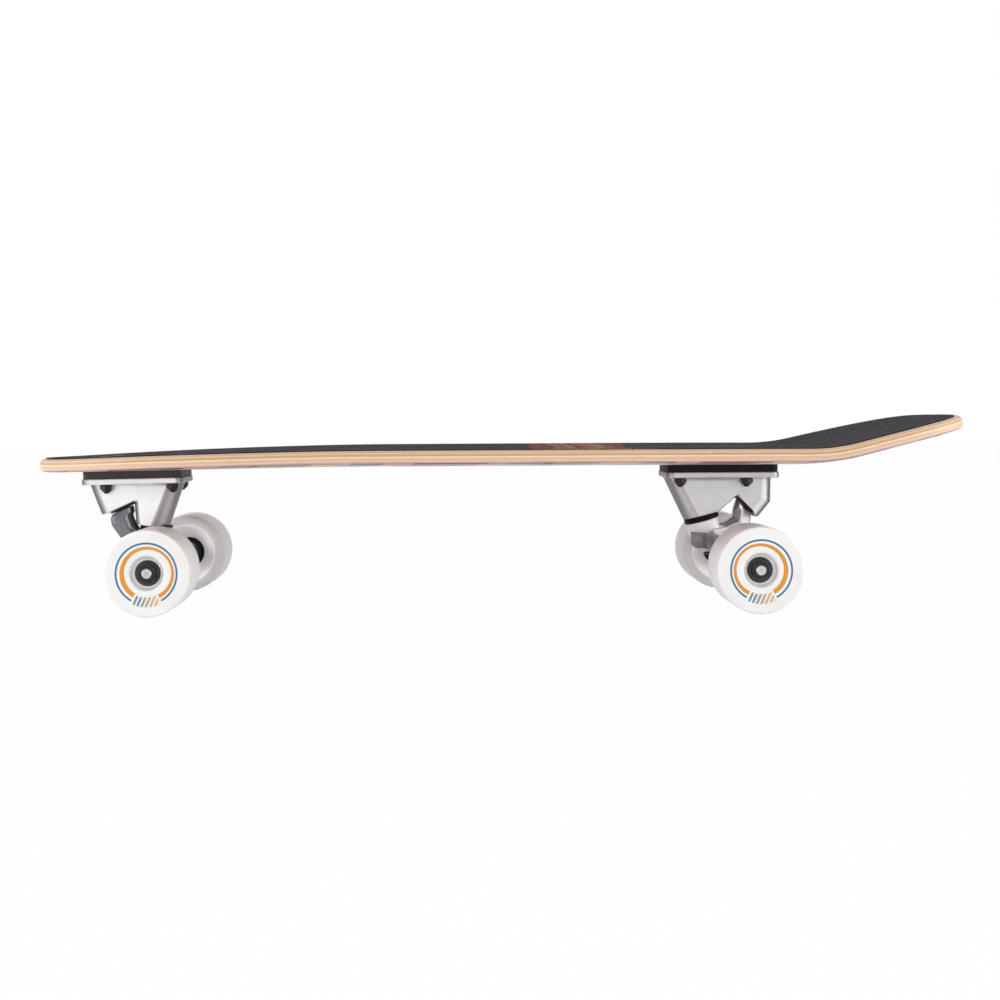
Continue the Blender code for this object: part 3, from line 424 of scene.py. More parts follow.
@dataclass(frozen=True)
class Foundry:
    """Casts a rough solid with filled hollows and worn ridges."""

    grain: float = 0.00062
    hollow: float = 0.0030
    ridge: float = 0.0010
    rounds: int = 36
    last_rounds: int = 3

    def cast(self, name: str, node: bpy.types.Object, added: Sequence[Surface],
             finish: bpy.types.Material, trim: Trim) -> bpy.types.Object:
        """Cast the merged copy of a frame solid together with the forms laid on it.

        Args:
            name: Name of the casting.
            node: The frame's solid, which is copied and left alone.
            added: Closed surfaces that become one with it.
            finish: Material of the casting.
            trim: Changes the points, given the points and their normals.

        Returns:
            The casting.
        """
        rough = bpy.data.objects.new(name, node.data.copy())
        bpy.context.scene.collection.objects.link(rough)
        tidy(rough.data)
        if added:
            forms = weld(name + "_forms", added, [])
            work = bmesh.new()
            work.from_mesh(rough.data)
            work.from_mesh(forms.data)
            work.to_mesh(rough.data)
            work.free()
            bpy.data.objects.remove(forms)
        grid = rough.modifiers.new("grain", "REMESH")
        grid.mode = "VOXEL"
        grid.voxel_size = self.grain
        depsgraph = bpy.context.evaluated_depsgraph_get()
        mesh = bpy.data.meshes.new_from_object(rough.evaluated_get(depsgraph))
        bpy.data.objects.remove(rough)
        self.round_off(mesh, trim)
        mesh.name = name
        mesh.materials.clear()
        mesh.materials.append(finish)
        mesh.shade_smooth()
        piece = bpy.data.objects.new(name, mesh)
        bpy.context.scene.collection.objects.link(piece)
        return piece

    def round_off(self, mesh: bpy.types.Mesh, trim: Trim) -> None:
        """Soften a mesh in place, trim it, and soften it a little again.

        Args:
            mesh: The mesh.
            trim: Changes the points, given the points and their normals.
        """
        mesh.calc_loop_triangles()
        points = read(mesh.vertices, "co", 3, float)
        edges = read(mesh.edges, "vertices", 2, np.int32)
        triangles = read(mesh.loop_triangles, "vertices", 3, np.int32)
        points = soften(points, edges, triangles, self.hollow, self.ridge, self.rounds)
        mesh.vertices.foreach_set("co", points.ravel())
        mesh.update()
        points = trim(points, read(mesh.vertex_normals, "vector", 3, float))
        points = soften(points, edges, triangles, self.hollow, self.ridge, self.last_rounds)
        mesh.vertices.foreach_set("co", points.ravel())
        mesh.update()


class Wiring:
    """Adds nodes to a node tree and links them."""

    def __init__(self, tree: bpy.types.NodeTree) -> None:
        """Take the tree that is wired."""
        self.tree = tree

    def feed(self, socket: Socket, value: object) -> None:
        """Link a socket to a socket, or set it to a value.

        Args:
            socket: The socket that takes.
            value: The socket or value that it takes.
        """
        if isinstance(value, Socket):
            self.tree.links.new(value, socket)
        else:
            socket.default_value = value

    def add(self, kind: str, inputs: dict[str | int, object], output: str | int = 0,
            **settings: object) -> Socket:
        """Add a node.

        Args:
            kind: Type of the node, without its first word.
            inputs: What its sockets take, by name or number.
            output: The output that is wanted.
            **settings: The node's own settings.

        Returns:
            The output socket.
        """
        node = self.tree.nodes.new("ShaderNode" + kind)
        for key, value in settings.items():
            setattr(node, key, value)
        for key, value in inputs.items():
            self.feed(node.inputs[key], value)
        return node.outputs[output]

    def coords(self, stretch: tuple[float, float, float] = (1.0, 1.0, 1.0)) -> Socket:
        """Give the Object coordinates, stretched along their axes."""
        return self.add("Mapping", {"Vector": self.add("TexCoord", {}, "Object"), "Scale": stretch})

    def split(self, vector: object) -> Sequence[Socket]:
        """Give a vector's x, y and z."""
        return self.add("SeparateXYZ", {0: vector}).node.outputs

    def grey(self, level: object) -> Socket:
        """Give a grey of a level."""
        return self.add("CombineXYZ", {0: level, 1: level, 2: level})

    def noise(self, scale: float, detail: float = 2.0, vector: object = None,
              roughness: float = 0.5) -> Socket:
        """Give fractal noise, 0 to 1.

        Args:
            scale: Features to the metre.
            detail: Octaves.
            vector: Where it is read; Object coordinates if left out.
            roughness: How much the finer octaves count.

        Returns:
            The value socket.
        """
        spot = self.coords() if vector is None else vector
        return self.add("TexNoise", {"Vector": spot, "Scale": scale, "Detail": detail,
                                     "Roughness": roughness})

    def math(self, operation: str, *values: object) -> Socket:
        """Combine values with a Math node."""
        return self.add("Math", dict(enumerate(values)), operation=operation)

    def times(self, first: object, *others: object) -> Socket:
        """Multiply values in turn."""
        for other in others:
            first = self.math("MULTIPLY", first, other)
        return first

    def line(self, value: object, slope: object, start: object) -> Socket:
        """Give a value times a slope, plus a start."""
        return self.math("MULTIPLY_ADD", value, slope, start)

    def between(self, value: object, low: float, high: float, soft: float) -> Socket:
        """Give 1 where a value lies between two limits, falling off over a soft width.

        Args:
            value: The value socket.
            low: Lower limit.
            high: Upper limit.
            soft: Width of the falling off.

        Returns:
            The mask.
        """
        return self.times(self.span(value, low, low + soft), self.span(value, high, high - soft))

    def span(self, value: object, start: object, end: object, low: float = 0.0,
             high: float = 1.0) -> Socket:
        """Map a value from one span onto another, held at its ends.

        Args:
            value: The value socket.
            start: Value that gives low.
            end: Value that gives high.
            low: First result.
            high: Last result.

        Returns:
            The mapped value.
        """
        return self.add("MapRange", {"Value": value, "From Min": start, "From Max": end,
                                     "To Min": low, "To Max": high}, "Result")

    def ramp(self, value: object, stops: Stops, interpolation: str = "LINEAR") -> Socket:
        """Colour a value.

        Args:
            value: The value socket.
            stops: Places from 0 to 1 and their colours.
            interpolation: How the ramp runs between stops.

        Returns:
            The colour socket.
        """
        output = self.add("ValToRGB", {"Fac": value})
        ramp = output.node.color_ramp
        ramp.interpolation = interpolation
        while len(ramp.elements) > 1:
            ramp.elements.remove(ramp.elements[0])
        for number, (spot, colour) in enumerate(stops):
            element = ramp.elements[0] if number == 0 else ramp.elements.new(spot)
            element.position = spot
            element.color = colour
        return output

    def mix(self, share: object, first: object, second: object, blend: str = "MIX") -> Socket:
        """Mix two colours by a share."""
        return self.add("Mix", {0: share, 6: first, 7: second}, 2, data_type="RGBA",
                        blend_type=blend, clamp_factor=True)


class Recipe(Wiring):
    """Wires one material round a Principled shader."""

    def __init__(self, name: str, **uniform: float | Colour) -> None:
        """Start a material.

        Args:
            name: Name of the material.
            **uniform: Values for the shader's sockets, with _ for a space.
        """
        self.material = bpy.data.materials.new(name)
        self.material.use_nodes = True
        super().__init__(self.material.node_tree)
        self.shader = self.tree.nodes["Principled BSDF"]
        self.fill(**uniform)

    def fill(self, **values: object) -> None:
        """Feed the shader's sockets, with _ for a space."""
        for key, value in values.items():
            self.feed(self.shader.inputs[key.replace("_", " ")], value)

    def close(self, colour: object, rough: object, height: object, depth: float,
              strength: float) -> bpy.types.Material:
        """Link the colour, the roughness and a bump, and give the material.

        Args:
            colour: Base colour.
            rough: Roughness.
            height: Height of the bump, in units of its depth.
            depth: Depth of the bump in metres.
            strength: Share of the bump that shows.

        Returns:
            The material.
        """
        normal = self.add("Bump", {"Height": height, "Distance": depth, "Strength": strength})
        self.fill(Base_Color=colour, Roughness=rough, Normal=normal)
        return self.material


@dataclass(frozen=True)
class CastMetal:
    """Tumbled cast aluminium: mottled, finely speckled, with a slightly rough skin.

    Its upright skin takes painted shade and painted highlights by heading, from a ramp of colours.
    The heading is the angle of the normal from straight across the board towards its middle, with
    half a turn as one and half added: 0 faces the board's end, 0.5 its side and 1 its middle.
    """

    name: str
    light: Colour
    dark: Colour
    metallic: float
    roughness: float
    speckle: float
    end: End = End.FRONT
    painted_heading_shade: Stops = ()
    clouds: float = 70.0
    pits: float = 1500.0
    sand: float = 3800.0
    relief: float = 0.00012

    def build(self) -> bpy.types.Material:
        """Wire the material."""
        recipe = Recipe(self.name, Metallic=self.metallic)
        cloud = recipe.noise(self.clouds, 3.0)
        pit, grain = recipe.noise(self.pits), recipe.noise(self.sand)
        tone = recipe.mix(recipe.span(cloud, 0.35, 0.65), self.dark, self.light)
        if self.painted_heading_shade:
            tone = self.paint_heading_shade(recipe, tone, cloud)
        fleck = recipe.span(pit, 0.56, 0.74, 0.0, self.speckle)
        rough = recipe.span(grain, 0.3, 0.7, self.roughness - 0.06, self.roughness + 0.08)
        return recipe.close(recipe.mix(fleck, tone, self.dark, "MULTIPLY"), rough,
                            recipe.line(pit, 0.6, recipe.times(grain, 0.4)), self.relief, 0.7)

    def paint_heading_shade(self, recipe: Recipe, tone: object, cloud: object) -> Socket:
        """Paint shade and highlights onto upright skin by its heading, and leave level skin as it is.

        Args:
            recipe: The material that is made.
            tone: Colour of level skin.
            cloud: Slow noise that mottles the shade.

        Returns:
            The colour socket.
        """
        n = recipe.split(recipe.add("TexCoord", {}, "Normal"))
        inboard = recipe.times(n[0], -float(self.end.value))
        angle = recipe.math("ARCTAN2", inboard, recipe.math("ABSOLUTE", n[1]))
        # Painted shade and highlights: the ramp darkens or lightens the skin by the way it faces.
        shade = recipe.ramp(recipe.line(angle, 1 / math.pi, 0.5), self.painted_heading_shade)
        mottle = recipe.grey(recipe.span(cloud, 0.35, 0.65, 0.95, 1.03))
        level = recipe.span(recipe.math("ABSOLUTE", n[2]), 0.55, 0.90)
        return recipe.mix(level, recipe.mix(1.0, shade, mottle, "MULTIPLY"), tone)


@dataclass(frozen=True)
class Metal:
    """Turned or drawn metal with fine marks round its axis, plain or blackened."""

    name: str
    colour: Colour
    metallic: float
    roughness: float
    worn: Colour = (0.5, 0.5, 0.5, 1.0)
    wear: float = 0.15
    scuffs: float = 900.0
    marks: float = 5200.0
    relief: float = 0.00004

    def build(self) -> bpy.types.Material:
        """Wire the material."""
        recipe = Recipe(self.name, Metallic=self.metallic)
        scuff = recipe.noise(self.scuffs, 4.0, roughness=0.65)
        shown = recipe.span(scuff, 0.60, 0.78, 0.0, self.wear)
        rough = recipe.span(scuff, 0.3, 0.7, self.roughness - 0.05, self.roughness + 0.10)
        return recipe.close(recipe.mix(shown, self.colour, self.worn), rough,
                            recipe.noise(self.marks), self.relief, 0.6)


@dataclass(frozen=True)
class Rubber:
    """Moulded rubber, urethane or nylon with a faint matt skin."""

    name: str
    colour: Colour
    roughness: float
    bloom: Colour = (0.20, 0.20, 0.21, 1.0)
    shine: float = 0.5
    dust: float = 0.22
    hazes: float = 160.0
    pores: float = 3000.0
    relief: float = 0.00006

    def build(self) -> bpy.types.Material:
        """Wire the material."""
        recipe = Recipe(self.name, IOR=1.50, Specular_IOR_Level=self.shine)
        haze = recipe.noise(self.hazes, 4.0, roughness=0.6)
        dusted = recipe.mix(recipe.span(haze, 0.50, 0.80, 0.0, self.dust), self.colour, self.bloom)
        rough = recipe.span(haze, 0.3, 0.7, self.roughness - 0.06, self.roughness + 0.10)
        return recipe.close(dusted, rough, recipe.noise(self.pores), self.relief, 0.7)


@dataclass(frozen=True)
class Urethane:
    """Poured wheel urethane, a little see-through, with a skin that has begun to scuff.

    It can glow a little: painted light, an emission that brightens the dish.
    """

    name: str
    colour: Colour = paint(251, 251, 251)
    tint: Colour = paint(245, 243, 241)
    roughness: float = 0.36
    glow: float = 0.0
    clouds: float = 45.0
    scuffs: float = 700.0
    pores: float = 2600.0
    relief: float = 0.00004

    def build(self) -> bpy.types.Material:
        """Wire the material."""
        recipe = Recipe(self.name, IOR=1.50, Subsurface_Weight=0.25, Subsurface_Scale=0.004,
                        Subsurface_Radius=(1.0, 0.75, 0.65), Emission_Strength=self.glow,
                        Emission_Color=(1.0, 0.96, 0.94, 1.0))
        cloud = recipe.span(recipe.noise(self.clouds, 3.0), 0.35, 0.65)
        scuff = recipe.noise(self.scuffs, 4.0, roughness=0.6)
        rough = recipe.span(scuff, 0.35, 0.7, self.roughness - 0.06, self.roughness + 0.12)
        plain = recipe.mix(cloud, self.colour, self.tint)
        return recipe.close(self.inked(recipe, plain), rough, recipe.noise(self.pores), self.relief,
                            0.5)

    def inked(self, recipe: Recipe, plain: Socket) -> Socket:
        """Leave plain urethane as it is."""
        return plain


@dataclass(frozen=True)
class PrintedFace(Urethane):
    """The wheel's face: two open rings of ink and a row of slanted strokes in their gap.

    The UV map gives the face's own x and y, in wheel radii. Ink is laid where the distance from
    the centre, or from a centre moved aside for the inner edge of the second ring, lies in a band.
    """

    outer_ink: Colour = paint(26, 108, 154)
    inner_ink: Colour = paint(226, 152, 42)
    stroke_inks: tuple[Colour, Colour] = (paint(64, 112, 128), paint(214, 164, 88))
    outer_ring: tuple[float, float] = (0.672, 0.722)
    inner_ring: tuple[float, float] = (0.536, 0.628)
    centres: tuple[tuple[float, float], tuple[float, float]] = ((0.033, 0.016), (0.016, 0.0))
    soft: float = 0.006
    open_half: float = 0.50
    stroke_band: tuple[float, float] = (0.525, 0.775)
    stroke_slant: float = -0.45
    stroke_pitch: float = 62.0
    stroke_ink: float = 0.85
    hand: float = 1.0

    def inked(self, recipe: Recipe, plain: Socket) -> Socket:
        """Lay the rings and the strokes.

        Args:
            recipe: The material that is made.
            plain: Colour of the plain urethane.

        Returns:
            The printed colour.
        """
        x, y, _ = recipe.split(recipe.add("UVMap", {}, uv_map="surface"))
        radius = self.distance(recipe, x, y, (0.0, 0.0))
        aside, beside = (self.distance(recipe, x, y, spot) for spot in self.centres)
        angle = recipe.math("ABSOLUTE", recipe.math("ARCTAN2", x, recipe.times(y, -1.0)))
        closed = recipe.span(angle, self.open_half, self.open_half + 0.02)
        flaw = recipe.span(recipe.noise(1400.0, 3.0), 0.66, 0.74, 1.0, 0.72)
        low, high = self.inner_ring
        inner = recipe.times(recipe.span(aside, low, low + self.soft),
                             recipe.span(beside, high, high - self.soft))
        outer = recipe.between(radius, *self.outer_ring, self.soft)
        colour = plain
        for ring, ink in ((outer, self.outer_ink), (inner, self.inner_ink)):
            colour = recipe.mix(recipe.times(ring, closed, flaw), colour, ink)
        return self.strokes(recipe, colour, recipe.times(x, self.hand), y, radius, angle)

    def distance(self, recipe: Recipe, x: Socket, y: Socket,
                 centre: tuple[float, float]) -> Socket:
        """Give the distance of (x, y) from a centre.

        Args:
            recipe: The material that is made.
            x: First coordinate.
            y: Second coordinate.
            centre: The centre.

        Returns:
            The distance socket.
        """
        dx, dy = (recipe.math("SUBTRACT", a, b) for a, b in zip((x, y), centre))
        return recipe.math("SQRT", recipe.line(dx, dx, recipe.times(dy, dy)))

    def strokes(self, recipe: Recipe, colour: Socket, x: Socket, y: Socket, radius: Socket,
                angle: Socket) -> Socket:
        """Lay slanted strokes in the gap, which run from one ink to the other.

        A stroke is where the slanted coordinate, x and a share of y, has a high wave.

        Args:
            recipe: The material that is made.
            colour: The colour so far.
            x: First face coordinate.
            y: Second face coordinate.
            radius: Distance from the centre.
            angle: Angle from straight down.

        Returns:
            The colour with the strokes.
        """
        slant = recipe.line(y, self.stroke_slant, x)
        wave = recipe.math("SINE", recipe.times(slant, self.stroke_pitch))
        ridge = recipe.span(wave, -0.50, -0.05)
        band = recipe.between(radius, *self.stroke_band, 0.03)
        middle = recipe.span(angle, self.open_half - 0.04, self.open_half - 0.07)
        ink = recipe.mix(recipe.span(x, -0.16, 0.16), *self.stroke_inks)
        return recipe.mix(recipe.times(ridge, band, middle, self.stroke_ink), colour, ink)


@dataclass(frozen=True)
class PlyEdge:
    """The board's cut edge: seven pressed plies, read from the underside up."""

    name: str = "deck_edge_plies"
    plies: tuple[Colour, ...] = (
        paint(228, 190, 176), paint(244, 212, 192), paint(230, 196, 168), paint(252, 222, 186),
        paint(208, 168, 128), paint(232, 196, 160), paint(212, 182, 156),
    )
    glue: Colour = paint(190, 142, 104)
    glue_half: float = 0.020
    waver: float = 0.035
    painted: tuple[float, float] = (0.075, 0.055)
    relief: float = 0.00008

    def build(self) -> bpy.types.Material:
        """Wire the material."""
        recipe = Recipe(self.name, IOR=1.45)
        uv = recipe.add("UVMap", {}, uv_map="surface")
        run = recipe.add("Mapping", {"Vector": uv, "Scale": (55.0, 2.0, 1.0)})
        sway = recipe.math("SUBTRACT", recipe.noise(1.0, 2.0, run), 0.5)
        height = recipe.line(sway, self.waver, recipe.split(uv)[1])
        stops = []
        for number, colour in enumerate(self.plies):
            low, high = number / len(self.plies), (number + 1) / len(self.plies)
            stops += [(low + self.glue_half, colour), (high - self.glue_half, colour),
                      (high, self.glue)]
        fibres = recipe.noise(1.0, 3.0, recipe.coords((220.0, 220.0, 2600.0)))
        shade = recipe.grey(recipe.span(fibres, 0.3, 0.75, 0.86, 1.06))
        wood = recipe.mix(1.0, recipe.ramp(height, stops[:-1]), shade, "MULTIPLY")
        colour = recipe.mix(recipe.span(height, *self.painted), wood, underside_print(recipe))
        return recipe.close(colour, recipe.span(fibres, 0.3, 0.7, 0.42, 0.58), fibres, self.relief,
                            0.6)


def underside_print(recipe: Recipe) -> Socket:
    """Give the board's underside print: wide slanted bands of muted colours.

    The band is a saw of x plus 0.55 y, bent by slow noise, and each share of the saw has its
    colour.

    Args:
        recipe: The material that is made.

    Returns:
        The colour socket.
    """
    x, y, _ = recipe.split(recipe.coords())
    swayed = recipe.line(recipe.noise(9.0), 0.06, recipe.line(y, 0.55, x))
    saw = recipe.math("FRACT", recipe.line(swayed, 4.6, 0.32))
    grey, rose, red = paint(138, 124, 122), paint(206, 150, 138), paint(128, 66, 58)
    dark, sand = paint(74, 62, 62), paint(196, 172, 152)
    return recipe.ramp(saw, [(0.0, red), (0.10, rose), (0.20, grey), (0.34, dark), (0.38, grey),
                             (0.52, sand), (0.64, grey), (0.73, dark), (0.76, rose), (0.86, red)],
                       "CONSTANT")


@dataclass(frozen=True)
class Underside:
    """The board's painted underside."""

    name: str = "deck_underside_print"
    wood: Colour = paint(206, 176, 148)

    def build(self) -> bpy.types.Material:
        """Wire the material."""
        recipe = Recipe(self.name, IOR=1.48, Coat_Weight=0.35, Coat_Roughness=0.25)
        fibres = recipe.noise(1.0, 3.0, recipe.coords((8.0, 620.0, 620.0)))
        worn = recipe.span(fibres, 0.62, 0.80, 0.0, 0.25)
        return recipe.close(recipe.mix(worn, underside_print(recipe), self.wood),
                            recipe.span(fibres, 0.3, 0.7, 0.34, 0.5), fibres, 0.00006, 0.5)


@dataclass(frozen=True)
class Veneer:
    """Clear-coated maple face veneer with its grain along the board."""

    name: str = "deck_maple"
    light: Colour = paint(222, 186, 150)
    dark: Colour = paint(190, 150, 112)

    def build(self) -> bpy.types.Material:
        """Wire the material."""
        recipe = Recipe(self.name, IOR=1.45)
        grain = recipe.noise(1.0, 4.0, recipe.coords((10.0, 420.0, 420.0)), 0.6)
        pores = recipe.noise(1.0, 2.0, recipe.coords((60.0, 2400.0, 2400.0)))
        return recipe.close(recipe.mix(recipe.span(grain, 0.35, 0.7), self.light, self.dark),
                            recipe.span(grain, 0.3, 0.7, 0.40, 0.52), pores, 0.00006, 0.6)


@dataclass(frozen=True)
class Grit:
    """Grip sheet: black grit in resin with a printed band of slanted strokes across the middle."""

    name: str = "grip_grit"
    resin: Colour = paint(44, 42, 47)
    grain: Colour = paint(74, 71, 78)
    stroke: Colour = paint(176, 158, 122)
    band: tuple[float, float] = (0.0355, 0.1195)
    grains: float = 1900.0
    stroke_slant: float = 0.6
    stroke_pitch: float = 1250.0
    relief: float = 0.00035

    def build(self) -> bpy.types.Material:
        """Wire the material."""
        recipe = Recipe(self.name, IOR=1.5, Specular_IOR_Level=0.12)
        cells = {"Vector": recipe.coords(), "Scale": self.grains}
        height = recipe.math("SUBTRACT", 1.0, recipe.add("TexVoronoi", cells, "Distance"))
        glint = recipe.span(recipe.split(recipe.add("TexVoronoi", cells, "Color"))[0], 0.82, 0.95)
        cloud = recipe.span(recipe.noise(26.0, 4.0), 0.35, 0.7, 0.0, 0.35)
        inked = self.printed(recipe, recipe.mix(cloud, self.resin, self.grain))
        return recipe.close(recipe.mix(recipe.times(glint, 0.45), inked, self.grain),
                            recipe.span(glint, 0.0, 1.0, 0.88, 0.45), height, self.relief, 0.9)

    def printed(self, recipe: Recipe, base: Socket) -> Socket:
        """Lay the band: a slow saw of x gives the blocks, a fast slanted wave the light strokes.

        Args:
            recipe: The material that is made.
            base: The colour of the plain sheet.

        Returns:
            The colour with the band.
        """
        x, y, _ = recipe.split(recipe.coords())
        inside = recipe.between(x, *self.band, 0.0006)
        sway = recipe.line(recipe.math("SINE", recipe.times(y, 60.0)), 0.05,
                           recipe.span(x, *self.band))
        wine, rust, dark, tan = (paint(128, 66, 68), paint(150, 96, 78), paint(92, 70, 62),
                                 paint(150, 118, 92))
        blocks = recipe.ramp(sway, [(0.0, wine), (0.14, dark), (0.22, rust), (0.27, dark),
                                    (0.34, tan), (0.42, wine), (0.50, rust), (0.64, tan),
                                    (0.72, dark), (0.84, wine)], "CONSTANT")
        slant = recipe.line(y, self.stroke_slant, x)
        wave = recipe.math("SINE", recipe.times(slant, self.stroke_pitch))
        rows = recipe.math("ADD", recipe.between(sway, 0.20, 0.36, 0.01),
                           recipe.between(sway, 0.66, 0.84, 0.01))
        where = recipe.times(recipe.span(wave, 0.55, 0.8), rows, 0.75)
        return recipe.mix(inside, base, recipe.mix(where, blocks, self.stroke))


def shades(*rows: tuple[float, int, int, int]) -> Stops:
    """Turn rows of a place and a screen colour into a ramp's stops."""
    return tuple((spot, paint(*colour)) for spot, *colour in rows)


DULL = {"bloom": paint(40, 38, 40), "shine": 0.2}
FINISHES = (
    # The ramps of the plates and hangers paint shade and highlights by heading: dark ends and
    # corners, light faces and streaks.
    CastMetal("front_plate_cast", paint(176, 168, 172), paint(150, 144, 148), 0.45, 0.36, 0.25,
              End.FRONT, shades((0.0, 132, 129, 129), (0.14, 100, 98, 97), (0.26, 92, 90, 89),
                                (0.38, 158, 156, 156), (0.46, 238, 238, 240),
                                (0.51, 246, 246, 248), (0.54, 230, 228, 230),
                                (0.61, 166, 159, 162), (0.71, 196, 190, 193),
                                (0.82, 134, 128, 131), (1.0, 120, 114, 116))),
    CastMetal("rear_plate_cast", paint(164, 160, 164), paint(136, 132, 136), 0.45, 0.38, 0.60,
              End.REAR, shades((0.0, 136, 133, 136), (0.12, 96, 93, 96), (0.23, 84, 81, 84),
                               (0.30, 150, 148, 150), (0.36, 234, 234, 234),
                               (0.42, 242, 242, 242), (0.48, 208, 207, 210),
                               (0.51, 200, 199, 202), (0.59, 176, 172, 175),
                               (0.67, 214, 210, 213), (0.78, 146, 141, 144),
                               (1.0, 116, 111, 114))),
    CastMetal("front_hanger_cast", paint(134, 133, 138), paint(104, 102, 108), 0.35, 0.46, 0.70,
              End.FRONT, shades((0.0, 104, 102, 108), (0.35, 122, 121, 126),
                                (0.50, 126, 125, 130), (0.59, 104, 102, 108),
                                (0.66, 224, 222, 226), (0.73, 150, 148, 154),
                                (0.85, 84, 82, 86), (1.0, 74, 72, 76))),
    CastMetal("rear_hanger_cast", paint(190, 185, 192), paint(156, 151, 158), 0.50, 0.36, 0.45,
              End.REAR, shades((0.0, 110, 106, 110), (0.30, 132, 128, 132),
                               (0.38, 232, 228, 234), (0.44, 188, 182, 190),
                               (0.50, 232, 228, 234), (0.57, 176, 171, 178),
                               (0.68, 156, 150, 156), (1.0, 138, 132, 138))),
    # Near-white pads beside the rear hanger's ring: a painted highlight.
    CastMetal("hanger_pad_faced", paint(252, 252, 254), paint(236, 235, 238), 0.30, 0.34, 0.15),
    # Near-white band round the hanger's ring, lighter than the casting: painted light.
    CastMetal("hanger_ring_faced", paint(252, 251, 254), paint(240, 238, 242), 0.10, 0.50, 0.20),
    # Dark webs beside the rear hanger's nut: painted shade.
    CastMetal("hanger_web_raw", paint(134, 126, 126), paint(116, 108, 109), 0.30, 0.50, 0.5),
    Metal("steel_bright", paint(184, 181, 185), 0.7, 0.34),
    Metal("steel_zinc", paint(176, 174, 180), 0.95, 0.34),
    Metal("kingpin_nut_zinc", paint(206, 202, 198), 0.3, 0.50),
    Metal("bearing_race_steel", paint(206, 204, 208), 0.4, 0.40),
    Metal("fastener_black_oxide", paint(36, 34, 38), 0.5, 0.32, paint(120, 118, 120), 0.25),
    Rubber("bearing_shield_black", paint(34, 32, 35), 0.42),
    Rubber("front_riser_rubber", paint(64, 58, 62), 0.60),
    Rubber("rear_riser_rubber", paint(22, 18, 20), 0.60, **DULL),
    Rubber("bushing_black", paint(10, 9, 10), 0.50, paint(26, 26, 28), 0.10),
    Rubber("bushing_grey", paint(70, 68, 72), 0.45),
    Rubber("pivot_cup_nylon", paint(22, 20, 22), 0.50, **DULL),
    # Black of the wheel core and the nut's insert; on the inner bearing's races it is painted shade.
    Rubber("wheel_core_black", paint(20, 18, 20), 0.50, **DULL),
    Urethane("wheel_urethane"),
    # The dish glows a little: painted light.
    Urethane("wheel_dish_urethane", glow=0.20),
    PrintedFace("front_face_print"),
    PrintedFace("rear_face_print", hand=-1.0),
    PlyEdge(),
    Underside(),
    Veneer(),
    Grit(),
)


